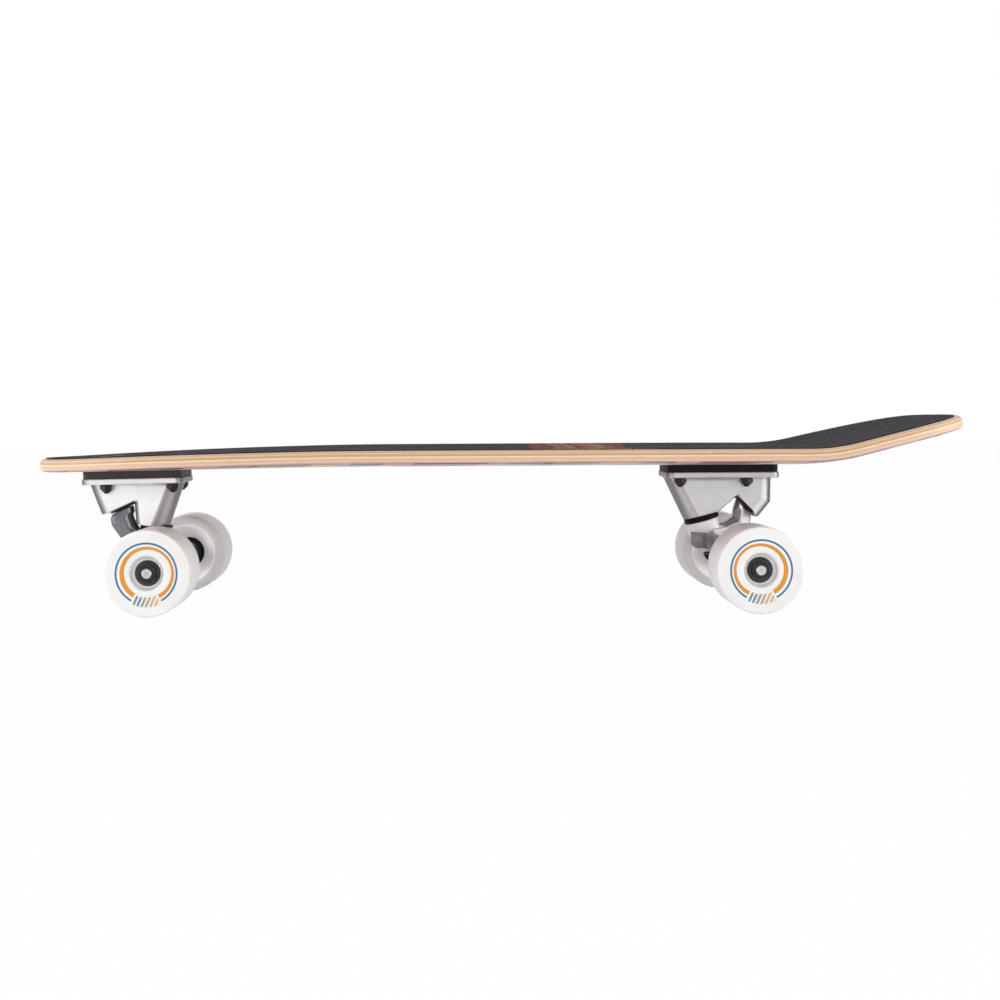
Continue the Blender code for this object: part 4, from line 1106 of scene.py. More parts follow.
@dataclass(frozen=True)
class BoardForm:
    """The pressed form that the board and its grip sheet share, in metres."""

    length: float = 0.74256
    width: float = 0.252
    wood: float = 0.0101
    grip: float = 0.0006
    underside: float = 0.1111
    widest_x: float = -0.0130
    kick_shortening: float = 0.0008
    nose_powers: tuple[float, float] = (3.73, 1.83)
    tail_powers: tuple[float, float] = (4.6, 4.3)
    concave: float = 0.0042
    flat_half: float = 0.030
    nose_bend: tuple[float, float, float] = (-0.0930, 4.0, math.radians(0.85))
    kick_bend: tuple[float, float, float] = (0.2335, 0.165, math.radians(13.95))

    def bend(self, distance: Array, radius: float, angle: float) -> tuple[Array, Array]:
        """Rise and slope at a distance past the start of a bend.

        The bend is an arc of a radius, which ends at an angle and goes on straight at that slope.

        Args:
            distance: Distance past the bend's start.
            radius: The arc's radius.
            angle: The arc's angle in radians.

        Returns:
            The rise, and the slope in radians.
        """
        end = radius * math.sin(angle)
        inside = np.clip(distance, 0.0, end)
        slope = np.arcsin(inside / radius)
        rise = radius * (1 - np.cos(slope)) + np.maximum(distance - end, 0.0) * math.tan(angle)
        return rise, slope

    def pressed(self, x: Array, y: Array, lift: Array) -> Array:
        """Carry flat points onto the pressed board.

        The rail rises with the square of the share of the way from the flat middle to the edge.

        Args:
            x: Place along the board.
            y: Place across it.
            lift: Height above the underside.

        Returns:
            The points.
        """
        kick, up = self.bend(x - self.kick_bend[0], *self.kick_bend[1:])
        droop, down = self.bend(self.nose_bend[0] - x, *self.nose_bend[1:])
        slope = up + down
        past = np.maximum(np.abs(y) - self.flat_half, 0.0) / (self.width / 2 - self.flat_half)
        height = self.underside + kick - droop + self.concave * past**2
        x, y, lift = np.broadcast_arrays(x, y, lift)
        return np.stack([x - lift * np.sin(slope), y, height + lift * np.cos(slope)], axis=-1)

    def outline(self, inset: Array, angle: Array) -> tuple[Array, Array]:
        """Give the plan's outline, two half superellipses that meet at the widest line.

        Args:
            inset: How far inside the edge.
            angle: Angle of the superellipse, 0 at the tail.

        Returns:
            The x and y of the outline.
        """
        c, s = np.cos(angle), np.sin(angle)
        tail = c >= 0
        along = np.where(tail, self.length / 2 + self.kick_shortening - self.widest_x,
                         self.length / 2 + self.widest_x) - inset
        power_x, power_y = (np.where(tail, 2 / self.tail_powers[k], 2 / self.nose_powers[k])
                            for k in (0, 1))
        x = self.widest_x + np.sign(c) * along * np.abs(c) ** power_x
        y = np.sign(s) * (self.width / 2 - inset) * np.abs(s) ** power_y
        return x, y

    def even_angles(self, columns: int) -> Array:
        """Angles at which the outline is cut into equal lengths.

        Args:
            columns: How many stretches.

        Returns:
            The angles, the last a full turn after the first.
        """
        share = np.linspace(0.0, 1.0, 4001)
        ease = (1 - np.cos(math.pi * share)) / 2
        fine = np.concatenate([quarter + ease[:-1] for quarter in range(4)] + [[4.0]]) * math.pi / 2
        x, y = self.outline(np.zeros_like(fine), fine)
        run = np.append(0.0, np.cumsum(np.hypot(np.diff(x), np.diff(y))))
        return np.interp(np.linspace(0.0, run[-1], columns + 1), run, fine)

    def sheet(self, low: float, high: float, edge: float, inset: float,
              finishes: tuple[int, int, int], columns: int = 560, rings: int = 56,
              edge_rows: int = 20) -> list[Surface]:
        """Make a closed sheet of the board's form with a rounded edge.

        The faces are rings of the outline shrunk towards the widest line's middle, and the edge
        is two quarter rounds with a flat between them.

        Args:
            low: Height of its lower face above the board's underside.
            high: Height of its upper face.
            edge: Radius of the quarter rounds.
            inset: How far its edge lies inside the board's.
            finishes: Numbers of the lower face's, the edge's and the upper face's finish.
            columns: Faces round the outline.
            rings: Rings on each face.
            edge_rows: Rows of each quarter round.

        Returns:
            The three surfaces.
        """
        angle = self.even_angles(columns)[None, :]
        turn = np.linspace(0.0, math.pi / 2, edge_rows)
        step = edge * (1 - np.sin(turn))
        rise = edge * (1 - np.cos(turn))
        insets = np.concatenate([step, step[::-1]])[:, None]
        lifts = np.concatenate([low + rise, high - rise[::-1]])[:, None]
        x, y = self.outline(inset + insets, angle)
        rim = self.pressed(x, y, lifts)
        run = np.append(0.0, np.cumsum(np.hypot(np.diff(x[0]), np.diff(y[0]))))[None, :]
        uv = np.stack(np.broadcast_arrays(run, (lifts - low) / (high - low)), axis=-1)
        share = np.linspace(0.0, 1.0, rings)[:, None]
        x, y = self.outline(inset + edge, angle)
        x, y = self.widest_x + share * (x - self.widest_x), share * y
        lower, upper = (self.pressed(x, y, np.array(lift)) for lift in (low, high))
        return [Surface(lower, None, finishes[0]), Surface(rim, uv, finishes[1]),
                Surface(upper, None, finishes[2])]


@dataclass
class Assembly:
    """What the sub-assemblies share: the finishes, and a prefix for the names of their pieces."""

    palette: Palette

    @property
    def prefix(self) -> str:
        """What the names of pieces and nodes start with."""
        return ""

    def node(self, word: str) -> bpy.types.Object:
        """Find a node's object in the loaded frame by its name after the prefix."""
        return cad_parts[self.prefix + word]

    def piece(self, word: str, surfaces: Sequence[Surface], finishes: Sequence[str], body: str,
              node: str, stands: bool = True, crease: float = SOFT_CREASE) -> bpy.types.Object:
        """Weld a piece and let it ride on its body.

        Args:
            word: The piece's name after the prefix.
            surfaces: Its surfaces, which together close.
            finishes: Names of its finishes, by the numbers that the surfaces give.
            body: Body that carries it.
            node: Node, after the prefix, that is hidden when the piece stands for it.
            stands: Whether it stands for that node.
            crease: Angle in degrees past which an edge stays sharp.

        Returns:
            The piece.
        """
        made = weld(self.prefix + word, surfaces, [self.palette[name] for name in finishes], crease)
        self.settle(made, body, node, stands)
        return made

    def settle(self, piece: bpy.types.Object, body: str, node: str, stands: bool = True) -> None:
        """Let a piece ride on a body, and hide the node that it stands for.

        Args:
            piece: The piece.
            body: Body that carries it.
            node: Node, after the prefix, that is hidden when the piece stands for it.
            stands: Whether it stands for that node.
        """
        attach(piece, body)
        if stands:
            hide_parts(self.prefix + node)

    def dress(self, word: str, finish: str) -> None:
        """Give a frame node that stays a better finish."""
        slots = self.node(word).data.materials
        slots.clear()
        slots.append(self.palette[finish])


@dataclass
class Board(Assembly):
    """The deck and its grip sheet."""

    form: BoardForm = BoardForm()
    edge_radius: float = 0.0034
    grip_inset: float = 0.0045

    def build(self) -> Iterator[bpy.types.Object]:
        """Build the deck, then the grip sheet."""
        form, thick = self.form, self.form.grip
        yield self.piece("deck_boards", form.sheet(0.0, form.wood, self.edge_radius, 0.0, (0, 1, 2)),
                         ["deck_underside_print", "deck_edge_plies", "deck_maple"], "board", "deck")
        low = form.wood + GAP
        surfaces = form.sheet(low, low + thick, thick / 2.2, self.grip_inset, (0, 0, 0), edge_rows=4)
        yield self.piece("grip_sheet", surfaces, ["grip_grit"], "board", "grip_tape")


@dataclass(frozen=True)
class TruckSizes:
    """What differs between the two trucks, in metres and degrees.

    Places are along the board, outboard of the axle, and up from it. An arm's third number is
    its half depth, a boss's third its half width.
    """

    end: End
    axle_x: float
    plate: tuple[float, float]
    bolt_centre: float
    ring: tuple[float, float]
    ring_radius: float
    kingpin_tilt: float
    arm: Outline
    grooves: int
    groove_depth: float
    flank: float
    boss_foot: tuple[float, float, float]
    boss_toe: tuple[float, float, float]
    boss_corners: tuple[float, float]
    bushing_radius: float
    cheek: Outline
    cheek_radius: float
    arm_pull: tuple[float, float]
    lip: Outline
    cut: Outline = ()
    toe_level: float = 0.0
    seat: Outline = ()
    arm_caps: tuple[Outline, ...] = ()
    webs: tuple[tuple[Side, Outline], ...] = ()
    pad: Outline = ()


FRONT = TruckSizes(
    End.FRONT, -0.2642, (-0.0135, 0.0684), 0.0220, (0.0155, 0.0199), 0.0125, 12.0,
    arm=((0.0215, 0.0205, 0.0038), (0.0278, 0.0218, 0.0052), (0.0349, 0.0260, 0.0084),
         (0.0393, 0.0343, 0.0095), (0.0408, 0.0425, 0.0096)),
    grooves=1, groove_depth=0.0, flank=0.50,
    boss_foot=(-0.0112, 0.0298, 0.0145), boss_toe=(-0.0108, 0.0146, 0.0142),
    boss_corners=(0.0160, 0.0058), bushing_radius=0.0124,
    cheek=((0.0564, 0.0391), (0.0656, 0.0639)), cheek_radius=0.0080, arm_pull=(-0.20, 0.16),
    lip=((0.0487, 0.0408), (0.0296, 0.0492), (0.0292, 0.0482), (0.0483, 0.0399)),
    toe_level=0.0292, seat=((0.0165, 0.0289), (0.0020, 0.0259), (0.0020, 0.0289)),
    arm_caps=(((0.0484, 0.0386), (0.0440, 0.0405), (0.0405, 0.0400), (0.0430, 0.0310),
               (0.0466, 0.0320), (0.0492, 0.0366)),),
)
WEB_FOOT = ((-0.0200, 0.0062), (-0.0110, 0.0100), (-0.0130, 0.0262), (-0.0240, 0.0210))
REAR = TruckSizes(
    End.REAR, 0.1994, (-0.0591, 0.0322), -0.0206, (-0.0254, 0.0268), 0.0134, 15.6,
    arm=((-0.0175, 0.0262, 0.0034), (-0.0088, 0.0254, 0.0034), (0.0034, 0.0296, 0.0064),
         (0.0048, 0.0364, 0.0066), (0.0057, 0.0432, 0.0064)),
    grooves=2, groove_depth=0.0011, flank=0.15,
    boss_foot=(-0.0588, 0.0190, 0.0145), boss_toe=(-0.0145, 0.0145, 0.0143),
    boss_corners=(0.0165, 0.0046), bushing_radius=0.0144,
    cheek=((0.0194, 0.0345), (0.0290, 0.0461), (0.0295, 0.0640)), cheek_radius=0.0112,
    arm_pull=(-0.52, 0.0),
    lip=((0.0012, 0.0504), (0.0120, 0.0370), (0.0142, 0.0380), (0.0018, 0.0502)),
    cut=((0.0009, 0.0510), (0.0140, 0.0383)),
    pad=((-0.0215, 0.0247), (-0.0085, 0.0268), (-0.0085, 0.0182), (-0.0196, 0.0184)),
    webs=(
        (Side.LEFT, ((-0.0385, 0.0225), (-0.0378, 0.0114), (-0.0345, 0.0090), (-0.0270, 0.0090),
                     *WEB_FOOT)),
        (Side.RIGHT, ((-0.0330, 0.0225), (-0.0322, 0.0114), (-0.0300, 0.0096), (-0.0270, 0.0094),
                      *WEB_FOOT)),
    ),
)


@dataclass
class Truck(Assembly):
    """One truck without its wheels: riser, plate, hanger, kingpin stack, axle and fasteners.

    Heads, nuts and washers are given by their radius, or width across flats, and their height,
    the recess by its bars' half width, reach and depth, and threads by pitch, depth and length.
    """

    sizes: TruckSizes
    form: BoardForm = BoardForm()
    wheel_radius: float = 0.033
    riser_thickness: float = 0.0060
    riser_inset: float = 0.0008
    plate_half_width: float = 0.028
    plate_thickness: float = 0.0049
    plate_corner: float = 0.006
    bolt_pitch: tuple[float, float] = (0.05398, 0.04128)
    bolt_radius: float = 0.0024
    bolt_head: tuple[float, float] = (0.0048, 0.0028)
    bolt_proud: float = 0.0004
    bolt_thread: tuple[float, float, float] = (0.0008, 0.0004, 0.012)
    recess: tuple[float, float, float] = (0.0007, 0.0028, 0.0016)
    nut: tuple[float, float] = (0.0095, 0.0055)
    bolt_beyond: float = 0.0015
    ring_height: float = 0.0085
    ring_chamfer: float = 0.0010
    band_proud: float = 0.0008
    band_below: float = 0.0014
    band_hole: float = 0.0075
    upper_bushing: float = 0.0039
    lower_bushing: tuple[float, float] = (0.0105, 0.0030)
    kingpin_radius: float = 0.00476
    kingpin_flats: float = 0.0143
    kingpin_nut: float = 0.0060
    kingpin_head: tuple[float, float] = (0.0052, 0.0026)
    kingpin_thread: tuple[float, float, float] = (0.00106, 0.0005, 0.016)
    washer: tuple[float, float] = (0.0098, 0.0014)
    axle_radius: float = 0.004
    axle_half: float = 0.1064
    axle_thread: tuple[float, float, float] = (0.0011, 0.0005, 0.012)
    face_half: float = 0.0140
    flange_fillet: float = 0.0032
    seat_half: float = 0.0118
    lip_half: float = 0.0108
    cap_half: float = 0.0048
    web_side: float = 0.0166
    web_half: float = 0.0019
    pad_side: float = 0.0192
    pad_half: float = 0.0044
    wing_from: float = 0.0096
    arm_half: float = 0.0125
    cut_length: float = 0.0215
    cut_depth: float = 0.004

    @property
    def prefix(self) -> str:
        """What the names of pieces and nodes start with."""
        return self.sizes.end.name.lower() + "_"

    @property
    def body(self) -> str:
        """The body that steers."""
        return self.prefix + "truck"

    @property
    def droop(self) -> tuple[float, float]:
        """How far the board has dropped above the axle, and its slope there."""
        start, radius, angle = self.form.nose_bend
        drop, slope = self.form.bend(np.array(start - self.sizes.axle_x), radius, angle)
        return float(drop), float(slope)

    @property
    def place(self) -> Place:
        """The axle's middle: x points to the board's end, z square to the board."""
        slope, way = self.droop[1], self.sizes.end.value
        c, s = math.cos(slope), math.sin(slope)
        turn = np.array([[way * c, 0, way * s], [0, way, 0], [-s, 0, c]])
        return Place(np.array([self.sizes.axle_x, 0.0, self.wheel_radius]), turn)

    @property
    def board_height(self) -> float:
        """Axle to the board's underside, square to the board."""
        drop, slope = self.droop
        return (self.form.underside - drop - self.wheel_radius) * math.cos(slope)

    @property
    def plate_high(self) -> float:
        """Axle to the top of the base plate."""
        return self.board_height - 2 * GAP - self.riser_thickness

    @property
    def kingpin_place(self) -> Place:
        """The middle of the hanger's ring, z up the kingpin."""
        along, up = self.sizes.ring
        return self.place.moved(along, 0.0, up).tilted(-math.radians(self.sizes.kingpin_tilt))

    def build(self) -> Iterator[bpy.types.Object]:
        """Build the truck's pieces from the board down."""
        yield self.riser()
        yield self.baseplate()
        yield from self.bolts()
        yield from self.stack()
        yield from self.trim()
        yield self.hanger()
        yield self.axle()
        self.dress("pivot_cup", "pivot_cup_nylon")

    def riser(self) -> bpy.types.Object:
        """Build the riser pad, a rounded rectangle whose sides bulge a little.

        A row is the plan times its reach, at its height.

        Returns:
            The pad.
        """
        low, high = self.sizes.plate
        thick, top = self.riser_thickness, self.board_height - GAP
        profile = rounded([(0.0, 0.0, 0.0), (0.6, 0.0, 0.0), (1.0, 0.0, 0.05), (0.98, 0.5, 0.2),
                           (1.0, 1.0, 0.05), (0.6, 1.0, 0.0), (0.0, 1.0, 0.0)])
        middle, half = (low + high) / 2, (high - low) / 2 - self.riser_inset
        plan = flat_sided(-half, half, self.plate_half_width - self.riser_inset, 0.0,
                          self.plate_corner, self.plate_corner, 12)
        plan = np.vstack([plan, plan[:1]])
        share = profile[:, 0]
        reach = np.where(share < 0.9, share, 1 - (1 - share) * 0.04)[:, None]
        heights = top - thick + thick * profile[:, 1:]
        rows = np.broadcast_arrays(middle + reach * plan[:, 0], reach * plan[:, 1], heights)
        return self.piece("riser_pad", [Surface(self.place.world(np.stack(rows, axis=-1)))],
                          [self.prefix + "riser_rubber"], "board", "riser")

    def baseplate(self) -> bpy.types.Object:
        """Cast the base plate."""
        piece = Foundry().cast(self.prefix + "plate_casting", self.node("baseplate"),
                               [self.boss_form()], self.palette[self.prefix + "plate_cast"],
                               self.shape_plate)
        self.settle(piece, "board", "baseplate")
        return piece

    def boss_form(self) -> Surface:
        """Rule a surface from the boss's foot under the plate to its toe on the bushing.

        Foot and toe are flat-sided ovals, and their points of one heading are joined by lines.

        Returns:
            The closed surface.
        """
        up = self.plate_high - self.plate_thickness + 0.001
        down = self.ring_height / 2 + 2 * GAP + self.upper_bushing
        corners = self.sizes.boss_corners
        foot = self.place.world(flat_sided(*self.sizes.boss_foot, up, *corners))
        toe = self.kingpin_place.world(flat_sided(*self.sizes.boss_toe, down, *corners))
        grid = np.stack([np.broadcast_to(foot.mean(axis=0), foot.shape), foot, toe,
                         np.broadcast_to(toe.mean(axis=0), toe.shape)])
        return Surface(np.concatenate([grid, grid[:, :1]], axis=1))

    def shape_plate(self, points: Array, normals: Array) -> Array:
        """Face the plate's cheeks flush, round its end and level its toe.

        Below the flange no point lies further out than the face, which widens with the square of
        the way into the flange's fillet, and draws in by a quarter circle at the end's lines.

        Args:
            points: Points of the casting.
            normals: Their normals, which aren't needed.

        Returns:
            The moved points.
        """
        local = self.place.local(points)
        under = self.plate_high - self.plate_thickness
        into = np.maximum(local[:, 2] - under + self.flange_fillet, 0.0)
        radius = self.sizes.cheek_radius
        depth = np.clip(self.cheek_depth(local[:, [0, 2]]), 0.0, radius)
        drawn = radius - np.sqrt(radius**2 - (radius - depth) ** 2)
        limit = self.face_half - drawn + into**2 / (2 * self.flange_fillet)
        held = np.sign(local[:, 1]) * np.minimum(np.abs(local[:, 1]), limit)
        local[:, 1] = np.where(local[:, 2] < under - 0.0001, held, local[:, 1])
        if self.sizes.cut:
            local[:, [0, 2]] = self.cut_face(local[:, [0, 2]])
        boss = local[:, 0] < self.sizes.boss_foot[1]
        local[:, 2] = np.where(boss, np.maximum(local[:, 2], self.sizes.toe_level), local[:, 2])
        return self.place.world(local)

    def cheek_depth(self, flat: Array) -> Array:
        """Give how far points lie inside all the lines of the plate's end.

        Args:
            flat: Points along and up.

        Returns:
            The least distance of each point from the lines, inwards.
        """
        line = np.array(self.sizes.cheek)
        step = np.diff(line, axis=0)
        off = flat[:, None] - line[None, :-1]
        cross = step[:, 0] * off[..., 1] - step[:, 1] * off[..., 0]
        return np.min(cross / np.linalg.norm(step, axis=1), axis=1)

    def cut_face(self, flat: Array) -> Array:
        """Set the pivot's face back to a line, which fades out at the block's tip.

        Args:
            flat: Points along and up.

        Returns:
            The moved points.
        """
        start, end = np.array(self.sizes.cut)
        way = (end - start) / np.linalg.norm(end - start)
        out = np.array([way[1], -way[0]])
        run, proud = (flat - start) @ way, (flat - start) @ out
        share = (np.clip(run / 0.001, 0.0, 1.0)
                 * np.clip((self.cut_length - run) / 0.004, 0.0, 1.0))
        near = (proud > 0) & (proud < self.cut_depth)
        return flat - out * (share * near * proud)[:, None]

    def trim(self) -> Iterator[bpy.types.Object]:
        """Build what stands for no node.

        These are the cup's black lip, partly the real lip and partly painted shade under the block,
        the wedge that levels the bushing's top under a level toe, the near-white band round the
        hanger's ring, which is painted light, and the dark webs and near-white pads beside the nut,
        which are painted shade and painted highlights.

        Yields:
            The pieces.
        """
        sizes, place, body = self.sizes, self.place, self.body
        # The cup's black lip runs along the block's lower edge: partly the real lip, partly painted
        # shade under the block.
        yield self.piece("pivot_cup_lip", [prism(place, sizes.lip, self.lip_half, 0.0004)],
                         ["pivot_cup_nylon"], "board", "pivot_cup", False)
        if sizes.seat:
            yield self.piece("bushing_seat", [prism(place, sizes.seat, self.seat_half, 0.0002)],
                             ["bushing_black"], "board", "upper_bushing", False)
        # The band is a near-white piece laid over the ring: painted light.
        high, wide = self.ring_height / 2 + 0.0001, sizes.ring_radius + self.band_proud
        low, hole = -high - self.band_below, self.band_hole
        band = rounded([(hole, low, 0.0003), (wide, low, 0.0009), (wide, high, 0.0009),
                        (hole, high, 0.0003)], 6, closed=True)
        yield self.piece("hanger_ring", [revolve(band, self.kingpin_place, 128)],
                         ["hanger_ring_faced"], body, "hanger", False)
        for side, plan in sizes.webs:
            way, word = side.value * sizes.end.value, side.name.lower()
            # The web is a dark piece beside the nut that paints shade.
            web = prism(place.moved(0.0, way * self.web_side), plan, self.web_half)
            yield self.piece("hanger_web_" + word, [web], ["hanger_web_raw"], body, "hanger", False)
            # The pad is a near-white piece that paints a highlight beside the ring.
            pad = prism(place.moved(0.0, way * self.pad_side), sizes.pad, self.pad_half)
            yield self.piece("hanger_pad_" + word, [pad], ["hanger_pad_faced"], body, "hanger", False)

    def hanger(self) -> bpy.types.Object:
        """Cast the hanger."""
        caps = [prism(self.place, plan, self.cap_half) for plan in self.sizes.arm_caps]
        finish = self.palette[self.prefix + "hanger_cast"]
        piece = Foundry(hollow=0.0022).cast(self.prefix + "hanger_casting", self.node("hanger"),
                                            caps, finish, self.shape_hanger)
        self.settle(piece, self.body, "hanger")
        return piece

    def shape_hanger(self, points: Array, normals: Array) -> Array:
        """Shape the arm, and keep the wings below the ring's band.

        A wing's point beside the band sinks along the kingpin to the band's lower side.

        Args:
            points: Points of the casting.
            normals: Their normals.

        Returns:
            The moved points.
        """
        place = self.kingpin_place
        local = place.local(self.shape_arm(points, normals))
        limit = -self.ring_height / 2 - self.band_below
        radius = np.hypot(local[:, 0], local[:, 1])
        beside = (np.clip((radius - self.sizes.ring_radius + 0.0002) / 0.0006, 0.0, 1.0)
                  * np.clip((np.abs(local[:, 1]) - self.wing_from) / 0.0010, 0.0, 1.0))
        local[:, 2] -= beside * np.maximum(local[:, 2] - limit, 0.0)
        return place.world(local)

    def shape_arm(self, points: Array, normals: Array) -> Array:
        """Give the arm its lengthwise grooves and its hollowed inner flank.

        A point's way off the arm's line, in half depths, is q. The arm's sides sink by a wave of
        q, and inboard of the line they draw in with the square of q.

        Args:
            points: Points of the casting.
            normals: Their normals.

        Returns:
            The moved points.
        """
        sizes, line = self.sizes, np.array(self.sizes.arm)
        local = self.place.local(points)
        flat, across = local[:, [0, 2]], local[:, 1]
        start, step = line[:-1, :2], np.diff(line[:, :2], axis=0)
        off = flat[:, None] - start[None]
        share = np.clip(np.sum(off * step, axis=2) / np.sum(step**2, axis=1), 0.0, 1.0)
        away = off - share[..., None] * step[None]
        gap = np.linalg.norm(away, axis=2)
        row, near = np.arange(len(points)), np.argmin(gap, axis=1)
        share, gap, away = share[row, near], gap[row, near], away[row, near]
        side = np.sign(step[near, 0] * away[:, 1] - step[near, 1] * away[:, 0])
        q = side * gap / (line[near, 2] + share * np.diff(line[:, 2])[near])
        run = near + share
        inside = (np.abs(q) < 1.15) & (np.abs(across) < self.arm_half)
        ends = np.clip((run - 0.6) / 0.4, 0, 1) * np.clip((len(line) - 1.35 - run) / 0.3, 0, 1)
        facing = np.clip((np.abs(normals @ self.place.turn[:, 1]) - 0.3) / 0.4, 0.0, 1.0)
        wave = 0.5 - 0.5 * np.cos(sizes.grooves * math.pi * (np.clip(q, -1, 1) + 1.0))
        sunk = sizes.groove_depth * wave * facing * inside * ends
        drawn = sizes.flank * np.clip(q, 0.0, 1.0) ** 2 * np.abs(across) * inside * ends
        local[:, 1] = np.sign(across) * np.maximum(np.abs(across) - sunk - drawn, 0.0)
        pull = np.where(q > 0, sizes.arm_pull[1], sizes.arm_pull[0]) * inside * ends
        local[:, [0, 2]] -= pull[:, None] * away
        return self.place.world(local)

    def bolts(self) -> Iterator[bpy.types.Object]:
        """Build the deck bolts with crossed recesses, and their locknuts."""
        top = self.board_height + self.form.wood + GAP + self.form.grip
        nut_high = self.plate_high - self.plate_thickness - GAP
        nut_low = nut_high - self.nut[1]
        end = nut_low - self.bolt_beyond
        spots = [(along, side) for along in (-1, 1) for side in (-1, 1)]
        for number, (along, side) in enumerate(spots, 1):
            spot = self.place.moved(self.sizes.bolt_centre + along * self.bolt_pitch[0] / 2,
                                    side * self.bolt_pitch[1] / 2)
            yield self.piece(f"deck_bolt_{number}", [self.bolt_surface(spot, top, end)],
                             ["fastener_black_oxide"], "board", f"bolt_{number}")
            nut = hexagon_nut(spot, self.nut[0], nut_low, nut_high, self.bolt_radius, collar=0.3)
            yield self.piece(f"lock_nut_{number}", [nut], ["fastener_black_oxide"], "board",
                             f"nut_{number}", crease=HARD_CREASE)

    def bolt_surface(self, spot: Place, top: float, end: float) -> Surface:
        """Turn a countersunk bolt with a crossed recess and a thread.

        The recess is as deep as the greater of two bars across the head, each falling off at its
        sides.

        Args:
            spot: Place of the bolt.
            top: Height of the head's top.
            end: Height of the bolt's end.

        Returns:
            The surface.
        """
        radius, (head, height), (pitch, deep, length) = (self.bolt_radius, self.bolt_head,
                                                         self.bolt_thread)
        face = np.linspace(0.0, head - 0.0004, 18)
        crown = top + self.bolt_proud * (1 - (face / head) ** 2)
        sides = rounded([(head - 0.0004, crown[-1], 0.0), (head, top - 0.0002, 0.0001),
                         (radius, top - height, 0.0003), (radius, end + length, 0.0)], 3)
        screw = rod(radius, np.linspace(end + length, end + 0.0006, 92))
        tip = np.array([[radius - 0.0005, end], [0.0, end]])
        profile = np.vstack([np.stack([face, crown], axis=1), sides[1:], screw[1:], tip])
        bar_half, bar_reach, bar_depth = self.recess

        def cut(r: Array, z: Array, a: Array) -> tuple[Array, Array]:
            """Sink the recess and cut the thread.

            Args:
                r: Radius of the points.
                z: Their height.
                a: Their angle.

            Returns:
                The new radius and height.
            """
            x, y = r * np.cos(a), r * np.sin(a)
            bars = [np.clip((bar_half - np.abs(p)) / 0.0003, 0, 1)
                    * np.clip((bar_reach - np.abs(q)) / 0.0008, 0, 1) for p, q in ((x, y), (y, x))]
            z = z - bar_depth * np.maximum(*bars) * (z > top - 0.0001)
            where = (z < end + length - 0.0002) & (z > end + 0.0005)
            return threaded(r, z, a, pitch, deep, where), z

        return revolve(profile, spot, 48, 0, cut)

    def stack(self) -> Iterator[bpy.types.Object]:
        """Build the kingpin, its bushings, washer and nut."""
        place, sizes = self.kingpin_place, self.sizes
        hole, seat = self.kingpin_radius + GAP, self.ring_height / 2 + GAP
        wide, high = sizes.bushing_radius, seat + self.upper_bushing
        yield self.bushing("above", [(hole, seat, 0.0003), (wide, seat, 0.0006),
                                     (wide, high, 0.0006), (hole, high, 0.0003)],
                           "bushing_black", "upper_bushing", high, seat)
        length, taper = self.lower_bushing
        radius, low = sizes.ring_radius - 2 * self.ring_chamfer, -seat - length
        yield self.bushing("below", [(hole, -seat, 0.0003), (radius, -seat, 0.0008),
                                     (radius - 0.25 * taper, -seat - 0.45 * length, 0.002),
                                     (radius - taper, low, 0.0012), (hole, low, 0.0003)],
                           "bushing_grey", "lower_bushing", low, -seat)
        high, wide = low - GAP, self.washer[0]
        low = high - self.washer[1]
        ring = rounded([(hole, low + 0.0003, 0.0002), (0.7 * wide, low + 0.0003, 0.001),
                        (wide, low, 0.0004), (wide, high, 0.0004),
                        (0.72 * wide, high - 0.0001, 0.001), (hole, high - 0.0001, 0.0002)],
                       closed=True)
        yield self.piece("cup_washer", [revolve(ring, place, 96)], ["steel_zinc"], "board",
                         "kingpin_washer")
        flats, high = self.kingpin_flats, low - GAP
        low = high - self.kingpin_nut
        collar = low + 0.0017
        insert = rounded([(hole, low, 0.0002), (0.42 * flats, low, 0.0006),
                          (0.44 * flats, collar, 0.0001), (hole, collar, 0.0)], closed=True)
        nut = hexagon_nut(place, flats, collar + 0.0001, high, self.kingpin_radius)
        yield self.piece("kingpin_locknut", [nut, revolve(insert, place, 64, 1)],
                         ["kingpin_nut_zinc", "wheel_core_black"], "board", "kingpin_nut",
                         crease=HARD_CREASE)
        head, cover = self.kingpin_head
        tilt = math.radians(sizes.kingpin_tilt)
        top = (self.plate_high - sizes.ring[1]) / math.cos(tilt) - cover
        yield self.kingpin(place, low - 0.0014, top - head, top)

    def bushing(self, word: str, corners: Outline, finish: str, node: str, still: float,
                moving: float) -> bpy.types.Object:
        """Turn a bushing, which sits between the board and the hanger.

        Args:
            word: above or below the ring.
            corners: Radius, height and reach of the rounding of its profile's corners.
            finish: Its finish.
            node: Node that it stands for, which is hidden.
            still: Height of the end at the board, up the kingpin; its point is worked out and not
                used further.
            moving: Height of the end at the hanger; its point is worked out and not used further.

        Returns:
            The bushing.
        """
        surface = revolve(rounded(corners, closed=True), self.kingpin_place, 96)
        piece = weld(f"{self.prefix}bushing_{word}", [surface], [self.palette[finish]])
        ends = self.kingpin_place.world(np.array([[0.0, 0.0, still], [0.0, 0.0, moving]]))
        start, end = (tuple(float(value) for value in spot) for spot in ends)
        self.body
        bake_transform(piece)
        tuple(start)
        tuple(end)
        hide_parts(self.prefix + node)
        return piece

